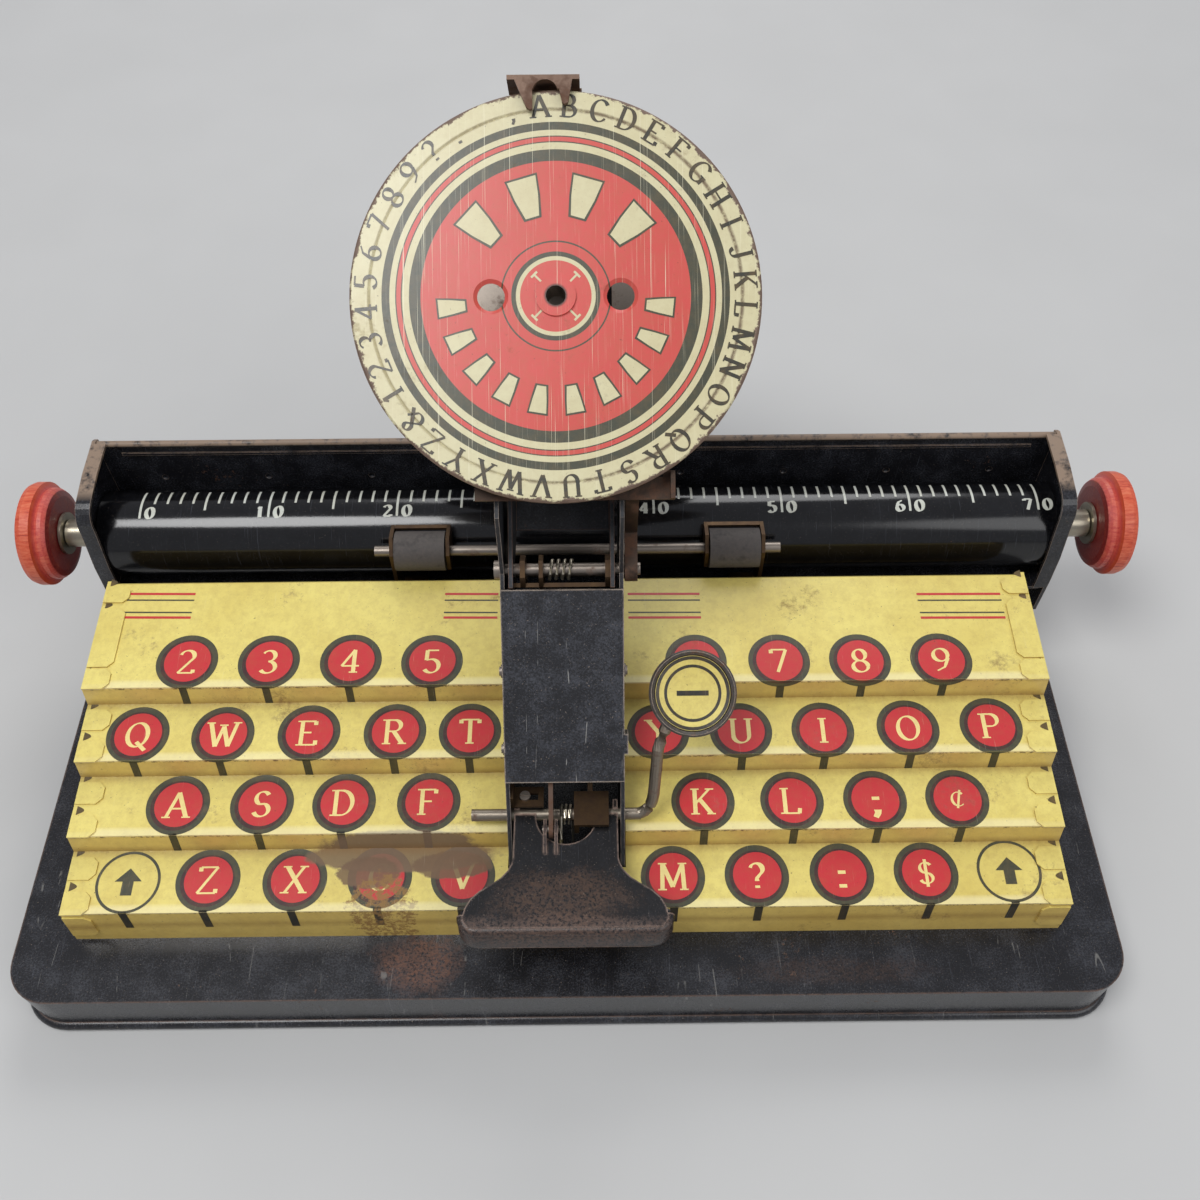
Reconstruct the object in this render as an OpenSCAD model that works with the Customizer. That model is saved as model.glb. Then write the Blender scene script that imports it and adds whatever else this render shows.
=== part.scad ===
// Toy-size index (dial) typewriter, built as separate named pieces.
// Millimetres, +Z up, table at z = 0, front towards -Y, column centre at x = 0,
// front edge of the base at y = 0.

/* [Base] */
// width of the base pan
base_w = 280; // [200:1:340]
// depth of the base pan
base_d = 160; // [120:1:200]
// height of the deck over the table
base_h = 18; // [12:1:26]
// corner radius of the base pan
base_r = 11; // [4:0.5:20]
// thickness of the pressed sheet
sheet = 1; // [0.6:0.1:1.6]
// radius of the rolled bead at the foot
bead_r = 1.5; // [0.8:0.1:2]
// width of the flange turned in at the foot
foot_flange = 7; // [4:0.5:12]

/* [Keyboard panel] */
// half width of the panel
panel_half = 124; // [100:1:135]
// step pitch from nose to nose
step_pitch = 17.45; // [14:0.05:20]
// rise of a riser
riser_h = 6; // [4:0.1:8]
// forward lean of a riser
riser_run = 1.35; // [0:0.05:3]
// rise of a tread from nose to the next foot
tread_rise = 0.95; // [0:0.05:2]
// nose of the lowest tread, y
nose_y = 17.7; // [10:0.1:30]
// nose of the lowest tread, z
nose_z = 31.3; // [26:0.1:36]
// depth of the rear tread
rear_tread = 32; // [20:0.5:40]
// width of a folded tab
tab_w = 6; // [3:0.5:9]
// thickness of a folded tab
tab_t = 0.5; // [0.3:0.1:0.8]
// cut corner of a folded tab
tab_cut = 1.5; // [0.5:0.1:2.5]
// gap under a folded tab
tab_gap = 0.02; // [0.01:0.01:0.1]

/* [Column] */
// outer half width of the column
col_half = 14.5; // [12:0.1:20]
// clearance between the panel slot and the column
col_gap = 0.3; // [0.2:0.05:0.6]
// rivet head radius
rivet_r = 1.6; // [1:0.1:2.5]
// rivet head height
rivet_h = 0.8; // [0.4:0.1:1.5]

/* [Head] */
// head pivot, y
pivot_y = 78; // [70:0.1:86]
// head pivot, z
pivot_z = 90; // [80:0.1:100]
// head pivot shaft radius
pivot_r = 1.5; // [1:0.05:2.5]
// slope of the dial
dial_tilt = 36; // [20:0.5:50]
// outer half width of the head frame
head_half = 12.4; // [10:0.1:13]
// dial axis, distance from the pivot along the slope
dial_u = 58.1; // [50:0.1:66]
// dial face, distance from the pivot along the dial axis
dial_w = 25.8; // [22:0.1:30]
// dial radius
dial_r = 44.5; // [35:0.1:55]
// dial shaft radius
shaft_r = 3; // [2:0.1:4]
// radius of the type ring
type_r = 38.6; // [30:0.1:42]
// distance of the type faces behind the pivot
type_w = 46.1; // [40:0.1:50]
// number of types
type_n = 40; // [20:1:60]

/* [Carriage] */
// carriage centre, x
car_x = 3.1; // [-10:0.1:10]
// carriage width over the end plates
car_w = 270; // [220:1:300]
// platen axis, y
platen_y = 124; // [118:0.1:130]
// platen axis, z
platen_z = 49.5; // [44:0.1:56]
// platen radius
platen_r = 12; // [9:0.1:14]
// platen spindle radius
spindle_r = 2.5; // [1.5:0.1:4]
// knob radius
knob_r = 14.7; // [12:0.1:18]
// knob length
knob_l = 8.6; // [6:0.1:20]
// feed roller axis, y
feed_y = 108.9; // [104:0.1:112]
// feed roller axis, z
feed_z = 58.7; // [54:0.1:64]
// feed roller radius
feed_r = 5.4; // [4:0.1:6]
// feed roller shaft radius
feed_shaft_r = 1.5; // [1:0.1:2.5]
// pitch of the rack, one letter space
rack_pitch = 3.56; // [2:0.01:5]
// half length of the guide rail
rail_half = 44; // [30:1:44]

/* [Levers] */
// lever axis, y
lever_y = 37.9; // [34:0.1:42]
// lever axis, z
lever_z = 42; // [38:0.1:46]
// rod radius
rod_r = 1.5; // [1:0.05:2]
// half width of the lever neck
neck_half = 12.8; // [10:0.1:13]
// half width of the lever lip
lip_half = 24.3; // [18:0.1:30]
// radius of the space key
key_r = 10.4; // [8:0.1:13]

/* [Fits] */
// radial clearance of a running fit
run_fit = 0.06; // [0.01:0.01:0.1]
// clearance between faces that move past each other
side_gap = 0.3; // [0.2:0.05:0.6]
// radial clearance of a pin or shaft that stays fast in its hole
seat_fit = 0.03; // [0.01:0.01:0.05]

/* [Hidden] */
eps = 0.01;
$fn = 48;
fn_small = 24;
fn_big = 96;
lever_p = [lever_y, lever_z];
pivot_p = [pivot_y, pivot_z];
platen_p = [platen_y, platen_z];
feed_p = [feed_y, feed_z];

// panel stair: nose and foot points from the front up, then the rear edge
tread_run = step_pitch - riser_run;
function nose(i) = [nose_y + i * step_pitch, nose_z + i * (riser_h + tread_rise)];
function foot(i) = nose(i) - [riser_run, riser_h];
stair = [
    [nose_y - riser_run, base_h], nose(0), foot(1), nose(1), foot(2), nose(2), foot(3), nose(3),
    nose(3) + [rear_tread, rear_tread * tan(3.4)]
];
panel_rear = stair[8];

// column outline, y z
col_foot_y = 28.4;
col_cover_lo = [40.1, 54.7];
col_cover_hi = [72.2, 89.7];
cover_dir = (col_cover_hi - col_cover_lo) / norm(col_cover_hi - col_cover_lo);
cover_tilt = atan2(cover_dir[1], cover_dir[0]);
cover_len = norm(col_cover_hi - col_cover_lo);
cover_nrm = [-cover_dir[1], cover_dir[0]];
cover_seat = sheet * 1;
col_rear_y = 99;
col_side = [
    [col_foot_y, base_h], [col_foot_y, 32.5], col_cover_lo - cover_nrm * cover_seat,
    col_cover_hi - cover_nrm * cover_seat, [75.6, 91.5], [77, 110], [92.4, 121.2], [96, 117], [col_rear_y, 80],
    [col_rear_y, base_h]
];
col_in = col_half - sheet;
spring_post = [96.4, 64.6];
spring_post_r = 1.2;

// head frame in its own axes: x, u up the dial slope, w out of the dial face
head_in = head_half - sheet;
frame_u0 = 10;
frame_u1 = 66;
frame_w0 = -12;
frame_w1 = 4;
link_u = -6.84;
link_w = -11.1;
link_pin_r = 1;
wheel_w = -39;
wheel_t = 1.5;
ring_in_r = 33.5;
type_base = 3;
shaft_w0 = -42.5;
dial_t = 0.8;
dial_rim = 2.6;
finger_x = 14;
finger_r = 3;
hub_r = 7;
hub_l = 3.4;
cross_w = 19;
fork_top = dial_u + 46.75;
fork_w0 = 20;
fork_w1 = 28;
fork_x0 = -10;
fork_x1 = 5.6;
fork_arch = 2.75;
fork_arch_x = -1.8;

// pull bar from the head link pin A down to the lever pin B
bar_x = -4.1;
bar_t = 1.1;
lug_x = bar_x - side_gap - sheet;
link_a = [pivot_y + 1, pivot_z - 13];
link_b = lever_p + [-5.5, 3];
bar_tilt = atan2(link_a[1] - link_b[1], link_a[0] - link_b[0]);
bar_len = norm(link_a - link_b);
bar_slack = 0.45;

// carriage
car_l = car_x - car_w / 2;
car_rt = car_x + car_w / 2;
plate_flange = 4;
tray_z = 35;
tray_front = 110.5;
tray_rear = 139.5;
tray_top = 70;
hem_r = 1;
end_arc = [for (a = [180:-15:95]) [119 + 6 * cos(a), 64 + 6 * sin(a)]];
end_outline = concat(
    [[tray_rear + hem_r, 26], [tray_front, 26], [tray_front - 0.2, 40], [110.8, 50], [112, 57], [112.8, 62]],
    end_arc, [[127, 71.2], [tray_rear - 0.5, 71.6], [tray_rear + hem_r, 70.6]]
);
platen_l = car_l + sheet + 1.2;
platen_len = car_w - 2 * sheet - 2.4;
knob_gap = 11.6;
shoe_z = 30;
rail_y = 125;
rail_head = 7;
rail_web = 3.7;
rack_front = 110.8;
rack_w = 4;
rack_n = 70;
rack_x0 = car_x - rack_n * rack_pitch / 2;
roller_in = 35.8;
roller_out = 49.4;
feed_half = 55.2;

// levers
lip_y = 8.2;
lip_r = 1.5;
lip_round = 3.4;
notch_half = 7.4;
notch_y = 29.2;
plate_z = 42.4;
lever_edge = concat([[-neck_half, lever_y - 0.4], [-neck_half, 25.6], [-13.1, 24.2], [-14, 22.4], [-15.6, 20.6], [-18, 18.9],
    [-20.6, 17.3], [-22.6, 15.4], [-23.8, 13.2], [-lip_half, 11]], [[-lip_half, 10.2], [-lip_half + 1.4, lip_y]]);
key_c = [30.7, 54, 72.6];
key_tilt = 32;

// which piece to build

// ---------- helpers ----------
module round_plate(w, d, r, h) {
    translate([-w / 2 + r, 0, 0]) cube([w - 2 * r, d, h]);
    translate([-w / 2, r, 0]) cube([w, d - 2 * r, h]);
    for (sx = [-1, 1], y = [r, d - r]) translate([sx * (w / 2 - r), y, 0]) cylinder(r = r, h = h);
}

// a y-z outline extruded from x0 to x1
module yz(x0, x1, pts) {
    translate([x0, 0, 0]) rotate([90, 0, 90]) linear_extrude(x1 - x0) polygon(pts);
}

// a cylinder along X
module xcyl(x0, x1, p, r, fn = $fn) {
    translate([x0, p[0], p[1]]) rotate([0, 90, 0]) cylinder(r = r, h = x1 - x0, $fn = fn);
}

// a wall of sheet that follows a y-z line, drawn on its lower rear side
function thick(pts, t) = concat(pts, [for (i = [len(pts) - 1:-1:0]) pts[i] + [t, -t]]);

// an outline moved inwards by t (outline runs clockwise)
function unit(v) = v / norm(v);
function inset(p, t) = [for (i = [0:len(p) - 1])
    let (a = unit(p[i] - p[(i + len(p) - 1) % len(p)]), b = unit(p[(i + 1) % len(p)] - p[i]),
         na = [a[1], -a[0]], nb = [b[1], -b[0]], m = na + nb)
    p[i] + m * (t / (1 + na * nb))];

// one unbroken tube swept along a list of points
function cross_u(a, b) = unit(cross(a, b));
module tube(path, r, sides = 6) {
    n = len(path);
    ref = [0.31, 0.52, 0.79];
    tang = [for (i = [0:n - 1]) unit(path[min(i + 1, n - 1)] - path[max(i - 1, 0)])];
    rings = [for (i = [0:n - 1])
        let (s = cross_u(tang[i], abs(tang[i] * ref) > 0.97 ? [1, 0, 0] : ref), t = cross(tang[i], s))
        for (k = [0:sides - 1]) path[i] + r * (cos(360 * k / sides) * s + sin(360 * k / sides) * t)];
    quads = [for (i = [0:n - 2], k = [0:sides - 1])
        let (a = i * sides + k, b = i * sides + (k + 1) % sides)
        each [[a, a + sides, b], [b, a + sides, b + sides]]];
    polyhedron(rings, concat([[for (k = [0:sides - 1]) k]],
        [[for (k = [sides - 1:-1:0]) (n - 1) * sides + k]], quads));
}

// head axes: x stays, y runs up the dial slope, z out of the dial face
module in_head() {
    translate([0, pivot_y, pivot_z]) rotate([dial_tilt, 0, 0]) children();
}

// dial axes: origin on the dial shaft at the height of the pivot
module in_dial() {
    in_head() translate([0, dial_u, 0]) children();
}

// ---------- base ----------
module base_pan() color([0.07, 0.07, 0.08]) {
    difference() {
        round_plate(base_w, base_d, base_r, base_h);
        difference() {
            translate([0, sheet, -eps])
                round_plate(base_w - 2 * sheet, base_d - 2 * sheet, base_r - sheet, base_h - sheet + eps);
            difference() {
                translate([0, 0, -2 * eps]) round_plate(base_w, base_d, base_r, sheet + 2 * eps);
                translate([0, foot_flange, -3 * eps])
                    round_plate(base_w - 2 * foot_flange, base_d - 2 * foot_flange, base_r / 2, sheet + 6 * eps);
            }
        }
    }
    // flat under the front bead, where the machine rests
    translate([base_r - base_w / 2, -bead_r * 0.6, 0]) cube([base_w - 2 * base_r, bead_r, bead_r * 0.4]);
    // rolled bead round the foot
    for (y = [0, base_d])
        translate([-base_w / 2 + base_r, y, bead_r]) rotate([0, 90, 0])
            cylinder(r = bead_r, h = base_w - 2 * base_r, $fn = fn_small);
    for (sx = [-1, 1]) {
        translate([sx * base_w / 2, base_r, bead_r]) rotate([-90, 0, 0])
            cylinder(r = bead_r, h = base_d - 2 * base_r, $fn = fn_small);
        for (y = [base_r, base_d - base_r])
            translate([sx * (base_w / 2 - base_r), y, bead_r])
                rotate([0, 0, (sx > 0 ? 0 : 90) + (y > base_d / 2 ? (sx > 0 ? 0 : 0) : (sx > 0 ? -90 : 90))])
                    rotate_extrude(angle = 90) translate([base_r, 0]) circle(r = bead_r, $fn = fn_small);
    }
}

module keyboard_panel() color([0.93, 0.84, 0.5]) difference() {
    union() {
        yz(-panel_half, panel_half, thick(stair, sheet));
        // rear wall down to the deck
        translate([-panel_half, panel_rear[0], base_h]) cube([2 * panel_half, sheet, panel_rear[1] - base_h - sheet]);
    }
    translate([-col_half - col_gap, col_foot_y - col_gap, base_h - eps])
        cube([2 * (col_half + col_gap), base_d, panel_rear[1]]);
    translate([-base_w / 2, 0, 0]) cube([base_w, base_d, base_h]);
}

module cheek(side) color([0.93, 0.84, 0.5]) {
    x0 = side > 0 ? panel_half : -panel_half - sheet;
    // side wall under the stair
    yz(x0, x0 + sheet, concat([[panel_rear[0] + sheet, base_h], stair[0]],
        [for (i = [1:8]) stair[i] + [0, 0]], [panel_rear + [sheet, 0]]));
    // tabs folded over each tread
    tabs = [[0, 2.5, 3], [0, 11.5, 3], [1, 2.5, 3], [1, 11.5, 3], [2, 2.5, 3], [2, 11.5, 3], [3, 2.5, 3],
            [3, 15, 9], [3, 28.5, 2.6]];
    for (t = tabs) {
        slope = atan2(stair[2 * t[0] + 2][1] - stair[2 * t[0] + 1][1], stair[2 * t[0] + 2][0] - stair[2 * t[0] + 1][0]);
        translate([side * panel_half, stair[2 * t[0] + 1][0], stair[2 * t[0] + 1][1]]) rotate([slope, 0, 0])
            translate([0, t[1], 0]) tab(side, t[2]);
    }
    // long tab over the lowest riser
    riser = stair[1] - stair[0];
    translate([side * panel_half, stair[0][0], stair[0][1]]) rotate([atan2(riser[1], riser[0]), 0, 0])
        translate([0, norm(riser) / 2 + 0.6, 0]) tab(side, norm(riser) / 2 - 2.2);
}
// one folded tab: a plate just over the panel and its root inside the side wall
module tab(side, half) mirror([side > 0 ? 0 : 1, 0, 0]) {
    translate([0, 0, tab_gap]) linear_extrude(tab_t) polygon([[0.8 * sheet, -half], [tab_cut - tab_w, -half],
        [-tab_w, tab_cut - half], [-tab_w, half - tab_cut], [tab_cut - tab_w, half], [0.8 * sheet, half]]);
    translate([0.2 * sheet, 0.5 - half, -1.5]) cube([0.4 * sheet, 2 * half - 1, 1.5 + tab_gap + tab_t / 2]);
}
module cheek_left() cheek(-1);
module cheek_right() cheek(1);

module column_side(side) color([0.1, 0.11, 0.12]) difference() {
    yz(side > 0 ? col_in : -col_half, side > 0 ? col_half : -col_in, col_side);
    xcyl(-2 * col_half, 2 * col_half, lever_p, rod_r + run_fit);
    xcyl(-2 * col_half, 2 * col_half, pivot_p, pivot_r + seat_fit);
}
module column_side_left() column_side(-1);
module column_side_right() column_side(1);

module column_cover() color([0.12, 0.13, 0.15]) {
    translate([-col_half, col_cover_lo[0] - cover_nrm[0] * cover_seat, col_cover_lo[1] - cover_nrm[1] * cover_seat])
        rotate([cover_tilt, 0, 0]) {
            cube([2 * col_half, cover_len, cover_seat]);
            // notched ear on the right
            translate([2 * col_half, 7, -3]) difference() {
                cube([0.9, 5, 3 + cover_seat]);
                translate([0.4, 1.6, -eps]) cube([sheet, 1.6, 1.6]);
            }
        }
}

module column_rivets() color([0.2, 0.2, 0.2]) {
    spots = [[-1, 60.5, 73], [-1, 47.5, 58.5], [1, 60.5, 73]];
    for (s = spots) translate([s[0] * col_half, s[1], s[2]]) rotate([0, 90 * s[0], 0]) {
        cylinder(r = rivet_r, h = rivet_h * 0.5, $fn = fn_small);
        cylinder(r = rivet_r * 0.7, h = rivet_h, $fn = fn_small);
    }
}

module pivot_shaft() color([0.6, 0.6, 0.6]) {
    xcyl(-col_half - 1.5, col_half + 4, pivot_p, pivot_r);
    xcyl(-col_half - 1.5, -col_half, pivot_p, pivot_r * 1.5);
}

module spring_post() color([0.5, 0.5, 0.5]) xcyl(-col_in, col_in, spring_post, spring_post_r);

// torsion spring on the pivot: its leg reaches back to the post
head_coil_r = 2.35;
head_wire_r = 0.38;
head_curls = 3.5;
head_coil_pitch = 1.5;
module head_spring() color([0.55, 0.5, 0.45]) {
    x0 = -2.9;
    steps = head_curls * 8;
    coil = [for (i = [0:steps]) let (a = 200 - 45 * i)
        [x0 + head_coil_pitch * i / 8, pivot_y + head_coil_r * cos(a), pivot_z + head_coil_r * sin(a)]];
    last = coil[len(coil) - 1];
    leg = [for (p = [[pivot_y + 6, pivot_z - 7], spring_post + [-3, 3.6], spring_post + [0.5, 1.9],
                     spring_post + [2, 0]]) [last[0] + 0.5, p[0], p[1]]];
    lead = [[x0 - 0.2, pivot_y + 0.5, pivot_z - 4.5]];
    tube(concat(lead, coil, leg), head_wire_r);
}
echo("head spring: least gap between curls, mm", head_coil_pitch - 2 * head_wire_r);

module guide_rail() color([0.25, 0.25, 0.25]) difference() {
    union() {
        translate([-rail_half, rail_y - 12, base_h]) cube([2 * rail_half, 24, sheet]);
        translate([-rail_half, rail_y - rail_web, base_h]) cube([2 * rail_half, 2 * rail_web, tray_z - side_gap - base_h]);
        translate([-rail_half, rail_y - rail_head, shoe_z + sheet + side_gap])
            cube([2 * rail_half, 2 * rail_head, tray_z - side_gap - (shoe_z + sheet + side_gap)]);
    }
    translate([-rail_half - eps, rail_y - rail_web + sheet, base_h + sheet])
        cube([2 * rail_half + 2 * eps, 2 * (rail_web - sheet), tray_z - base_h - side_gap - 3 * sheet]);
}

module rail_screws() color([0.5, 0.5, 0.5])
    for (sx = [-1, 1], sy = [-1, 1])
        translate([sx * (rail_half - 5), rail_y + sy * 8.6, base_h + sheet]) difference() {
            cylinder(r = 2, h = 1.2, $fn = fn_small);
            translate([-2.5, -0.25, 0.7]) cube([5, 0.5, 1]);
        }

// ---------- carriage ----------
module carriage_tray() color([0.1, 0.11, 0.12]) {
    x0 = car_l + sheet;
    w = car_w - 2 * sheet;
    translate([x0, tray_front + 1, tray_z]) cube([w, tray_rear - tray_front - 1, sheet]);
    difference() {
        translate([x0, tray_rear - sheet, tray_z]) cube([w, sheet, tray_top - tray_z]);
        // row of pressed dimples
        for (i = [-4:4]) translate([car_x + i * 29.7, tray_rear - sheet - 0.6, 56.8]) sphere(r = 1.1, $fn = fn_small);
    }
    // embossed line and rolled hem of the back
    translate([x0 + 6, tray_rear - sheet - 0.4, 66.3]) cube([w - 12, 0.5, 0.9]);
    xcyl(x0, x0 + w, [tray_rear - hem_r * 0.5, tray_top], hem_r, fn_small);
}

module end_plate(side) color([0.1, 0.11, 0.12]) {
    x0 = side > 0 ? car_rt - sheet : car_l;
    xf = side > 0 ? car_rt - plate_flange : car_l;
    difference() {
        yz(x0, x0 + sheet, end_outline);
        xcyl(x0 - 1, x0 + sheet + 1, platen_p, spindle_r + run_fit);
        // the tray passes flush against the inner face
    }
    // flange turned in along the front and the top
    difference() {
        yz(xf, xf + plate_flange, end_outline);
        yz(xf - 1, xf + plate_flange + 1, inset(end_outline, 0.8));
        translate([xf - 1, tray_rear - sheet - side_gap * 2, 20]) cube([plate_flange + 2, 10, 70]);
        translate([xf - 1, 100, 20]) cube([plate_flange + 2, 60, 17]);
    }
}
module end_plate_left() end_plate(-1);
module end_plate_right() end_plate(1);

module guide_shoes() color([0.3, 0.3, 0.3]) for (s = [-1, 1]) {
    yo = rail_y + s * (rail_head + side_gap + sheet);
    translate([car_l + sheet, min(yo, yo - s * sheet), shoe_z]) cube([car_w - 2 * sheet, sheet, tray_z - shoe_z]);
    translate([car_l + sheet, min(yo, yo - s * (sheet + 2.6)), shoe_z]) cube([car_w - 2 * sheet, sheet + 2.6, sheet]);
}

module rack() color([0.5, 0.5, 0.5]) {
    translate([rack_x0, rack_front + 0.7, tray_z - 2]) cube([rack_n * rack_pitch, rack_w, 2]);
    translate([rack_x0, rack_front + 0.7 + rack_w, tray_z - 4]) rotate([90, 0, 0]) linear_extrude(rack_w)
        polygon(concat([[0, 2 + eps]],
            [for (i = [0:rack_n - 1]) each [[i * rack_pitch + 0.2, 2], [i * rack_pitch + 0.5, 0],
                [i * rack_pitch + 1.3, 0], [(i + 1) * rack_pitch - 0.2, 2]]],
            [[rack_n * rack_pitch, 2 + eps]]));
}

module roller_brackets() color([0.72, 0.55, 0.2])
    for (s = [-1, 1]) {
        outer = s * (roller_out + side_gap);
        inner = s * (roller_in - side_gap);
        short = [[105.2, 55], [111.2, 55], [114.6, 59.5], [114.6, 63], [109, 64.2], [105.2, 61]];
        ear = concat([[105.2, tray_z + sheet], [111.2, tray_z + sheet]], [for (i = [1:5]) short[i]]);
        difference() {
            union() {
                yz(car_x + min(outer, outer + s), car_x + max(outer, outer + s), ear);
                yz(car_x + min(inner, inner - s), car_x + max(inner, inner - s), short);
            }
            xcyl(car_x - 60, car_x + 60, feed_p, feed_shaft_r + run_fit);
        }
        // web over the roller and the foot on the tray
        translate([car_x + min(outer + s, inner - s), 113.4, 62.2]) cube([abs(outer - inner) + 2, 1.2, 0.8]);
        translate([car_x + min(outer + s, outer - 6 * s), 105.2, tray_z + sheet]) cube([7, 12, 0.8]);
    }

// ---------- platen ----------
module platen_tube() color([0.9, 0.85, 0.7]) difference() {
    xcyl(platen_l, platen_l + platen_len, platen_p, platen_r, fn_big);
    xcyl(platen_l - 1, platen_l + platen_len + 1, platen_p, platen_r - sheet, fn_big);
}

module platen_caps() color([0.15, 0.15, 0.16])
    for (x = [platen_l + 0.4, platen_l + platen_len - 0.4 - 2 * sheet]) difference() {
        xcyl(x, x + 2 * sheet, platen_p, platen_r - sheet - seat_fit, fn_big);
        xcyl(x - 1, x + 2 * sheet + 1, platen_p, spindle_r + seat_fit);
    }

module platen_spindle() color([0.6, 0.6, 0.6]) {
    xcyl(car_l - knob_gap - knob_l * 0.9, car_rt + knob_gap + knob_l * 0.9, platen_p, spindle_r);
    // nail heads that hold the knobs
    xcyl(car_l - knob_gap - knob_l - 0.8, car_l - knob_gap - knob_l + 0.6, platen_p, 1.7, fn_small);
    xcyl(car_l - knob_gap - knob_l, car_l - knob_gap - knob_l * 0.9 + eps, platen_p, 0.8, fn_small);
    xcyl(car_rt + knob_gap + knob_l - 0.6, car_rt + knob_gap + knob_l + 0.8, platen_p, 1.7, fn_small);
    xcyl(car_rt + knob_gap + knob_l * 0.9 - eps, car_rt + knob_gap + knob_l, platen_p, 0.8, fn_small);
}

// turned knob, profile from its inner face outwards
knob_profile = [
    [0, 0], [10.6, 0], [12.2, 0.4], [12.9, 1.4], [13.1, 2.4], [12.9, 3], [13.3, 3.3], [knob_r, 3.9], [knob_r, 6.4],
    [knob_r - 0.5, 7.7], [knob_r - 1.8, 8.4], [knob_r - 3, knob_l], [4, knob_l], [3, knob_l - 0.6], [0, knob_l - 0.6]
];
module knob(side) color([0.7, 0.12, 0.06])
    translate([side > 0 ? car_rt + knob_gap : car_l - knob_gap, platen_y, platen_z]) rotate([0, 90 * side, 0])
        difference() {
            rotate_extrude($fn = fn_big) polygon(knob_profile);
            translate([0, 0, -1]) cylinder(r = spindle_r + seat_fit, h = knob_l * 0.9 + 1);
            cylinder(r = 0.8 + seat_fit, h = knob_l + 1, $fn = fn_small);
        }
module knob_left() knob(-1);
module knob_right() knob(1);

// washers and a spacing sleeve on the spindle between each end plate and its knob: start, length, radius
spacers = [[0.3, 0.8, 6.5], [1.4, 1.2, 4.4], [2.9, 0.8, 5.6], [4, 6.2, 3.9], [10.5, 0.8, 6]];
module knob_washers() color([0.7, 0.68, 0.6])
    for (s = [-1, 1], w = spacers) {
        x = s > 0 ? car_rt + w[0] : car_l - w[0] - w[1];
        difference() {
            xcyl(x, x + w[1], platen_p, w[2]);
            xcyl(x - 1, x + w[1] + 1, platen_p, spindle_r + seat_fit);
        }
    }

// ---------- paper feed ----------
module feed_shaft() color([0.45, 0.45, 0.45])
    xcyl(car_x - feed_half, car_x + feed_half, feed_p, feed_shaft_r);
module feed_roller(side) color([0.16, 0.16, 0.17]) difference() {
    xcyl(car_x + (side > 0 ? roller_in : -roller_out), car_x + (side > 0 ? roller_out : -roller_in), feed_p, feed_r);
    xcyl(car_x - 60, car_x + 60, feed_p, feed_shaft_r + seat_fit);
}
module feed_roller_left() feed_roller(-1);
module feed_roller_right() feed_roller(1);

// ---------- head ----------
module head_frame() color([0.14, 0.13, 0.13]) in_head() difference() {
    union() {
        for (x = [-head_half, head_in]) {
            translate([x, 0, 0]) rotate([90, 0, 90]) linear_extrude(sheet)
                polygon([[-4.4, frame_w1], [frame_u1, frame_w1], [frame_u1, frame_w0], [frame_u0, frame_w0],
                         [2, -5.5], [-4.4, -9.2]]);
        }
        // rear web, front web under the dial
        translate([-head_in, frame_u0, frame_w0]) cube([2 * head_in, frame_u1 - frame_u0, sheet]);
        translate([-head_in, 44, frame_w1 - sheet]) cube([2 * head_in, frame_u1 - 44, sheet]);
    }
    translate([-head_half - 1, 0, 0]) rotate([0, 90, 0]) cylinder(r = pivot_r + run_fit, h = 2 * head_half + 2);
    translate([0, dial_u, -20]) cylinder(r = shaft_r + run_fit, h = 20);
    translate([0, dial_u, 0]) cylinder(r = shaft_r + 1.2, h = 20);
}

module head_cradle() color([0.72, 0.55, 0.2]) in_head() difference() {
    union() {
        translate([-head_in, -4.2, -9]) cube([2 * head_in, sheet, 10]);
        for (x = [-9.8, 10.2]) translate([x, 0, 0]) rotate([90, 0, 90]) linear_extrude(sheet * 1.2)
            polygon([[-4.2, -9], [-4.2, 1], [-2, 3], [2, 3], [3.4, 1], [3.4, -3], [-3.2, -9]]);
        // lug that carries the pull bar
        translate([lug_x, 0, 0]) rotate([90, 0, 90]) linear_extrude(sheet)
            polygon([[-4.2, 1], [-2, 3], [2, 3], [3.4, 1], [3.4, -3], [link_u + 2.6, link_w - 1.8],
                     [link_u, link_w - 3], [link_u - 2.6, link_w - 1.5], [link_u - 2.6, link_w + 1.2]]);
    }
    translate([-head_half, 0, 0]) rotate([0, 90, 0]) cylinder(r = pivot_r + run_fit, h = 2 * head_half);
    translate([lug_x - 1, link_u, link_w]) rotate([0, 90, 0]) cylinder(r = link_pin_r + seat_fit, h = 3);
}

// flat steel bar behind the rim of the dial, carried by a strap on the pivot
module index_spring() color([0.55, 0.55, 0.53]) in_head() difference() {
    union() {
        // eye on the shaft and the two reaches of the strap
        translate([col_half + side_gap, 0, 0]) rotate([0, 90, 0]) cylinder(r = 3, h = 3, $fn = fn_small);
        translate([col_half + side_gap, 0, 2]) cube([3, 9, sheet]);
        translate([col_half + side_gap, 9, 2]) rotate([66, 0, 0]) cube([3, 18.6, sheet]);
        // cross bar with its shelf and upturned ear
        translate([-18.5, 14.6, cross_w]) cube([44, 5, sheet]);
        translate([25.5 - sheet, 14.6, cross_w]) cube([sheet, 6, 4.2]);
        translate([23, 19, cross_w]) cube([2.5, 2, sheet]);
    }
    translate([0, 0, 0]) rotate([0, 90, 0]) cylinder(r = pivot_r + run_fit, h = 40);
}

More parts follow.
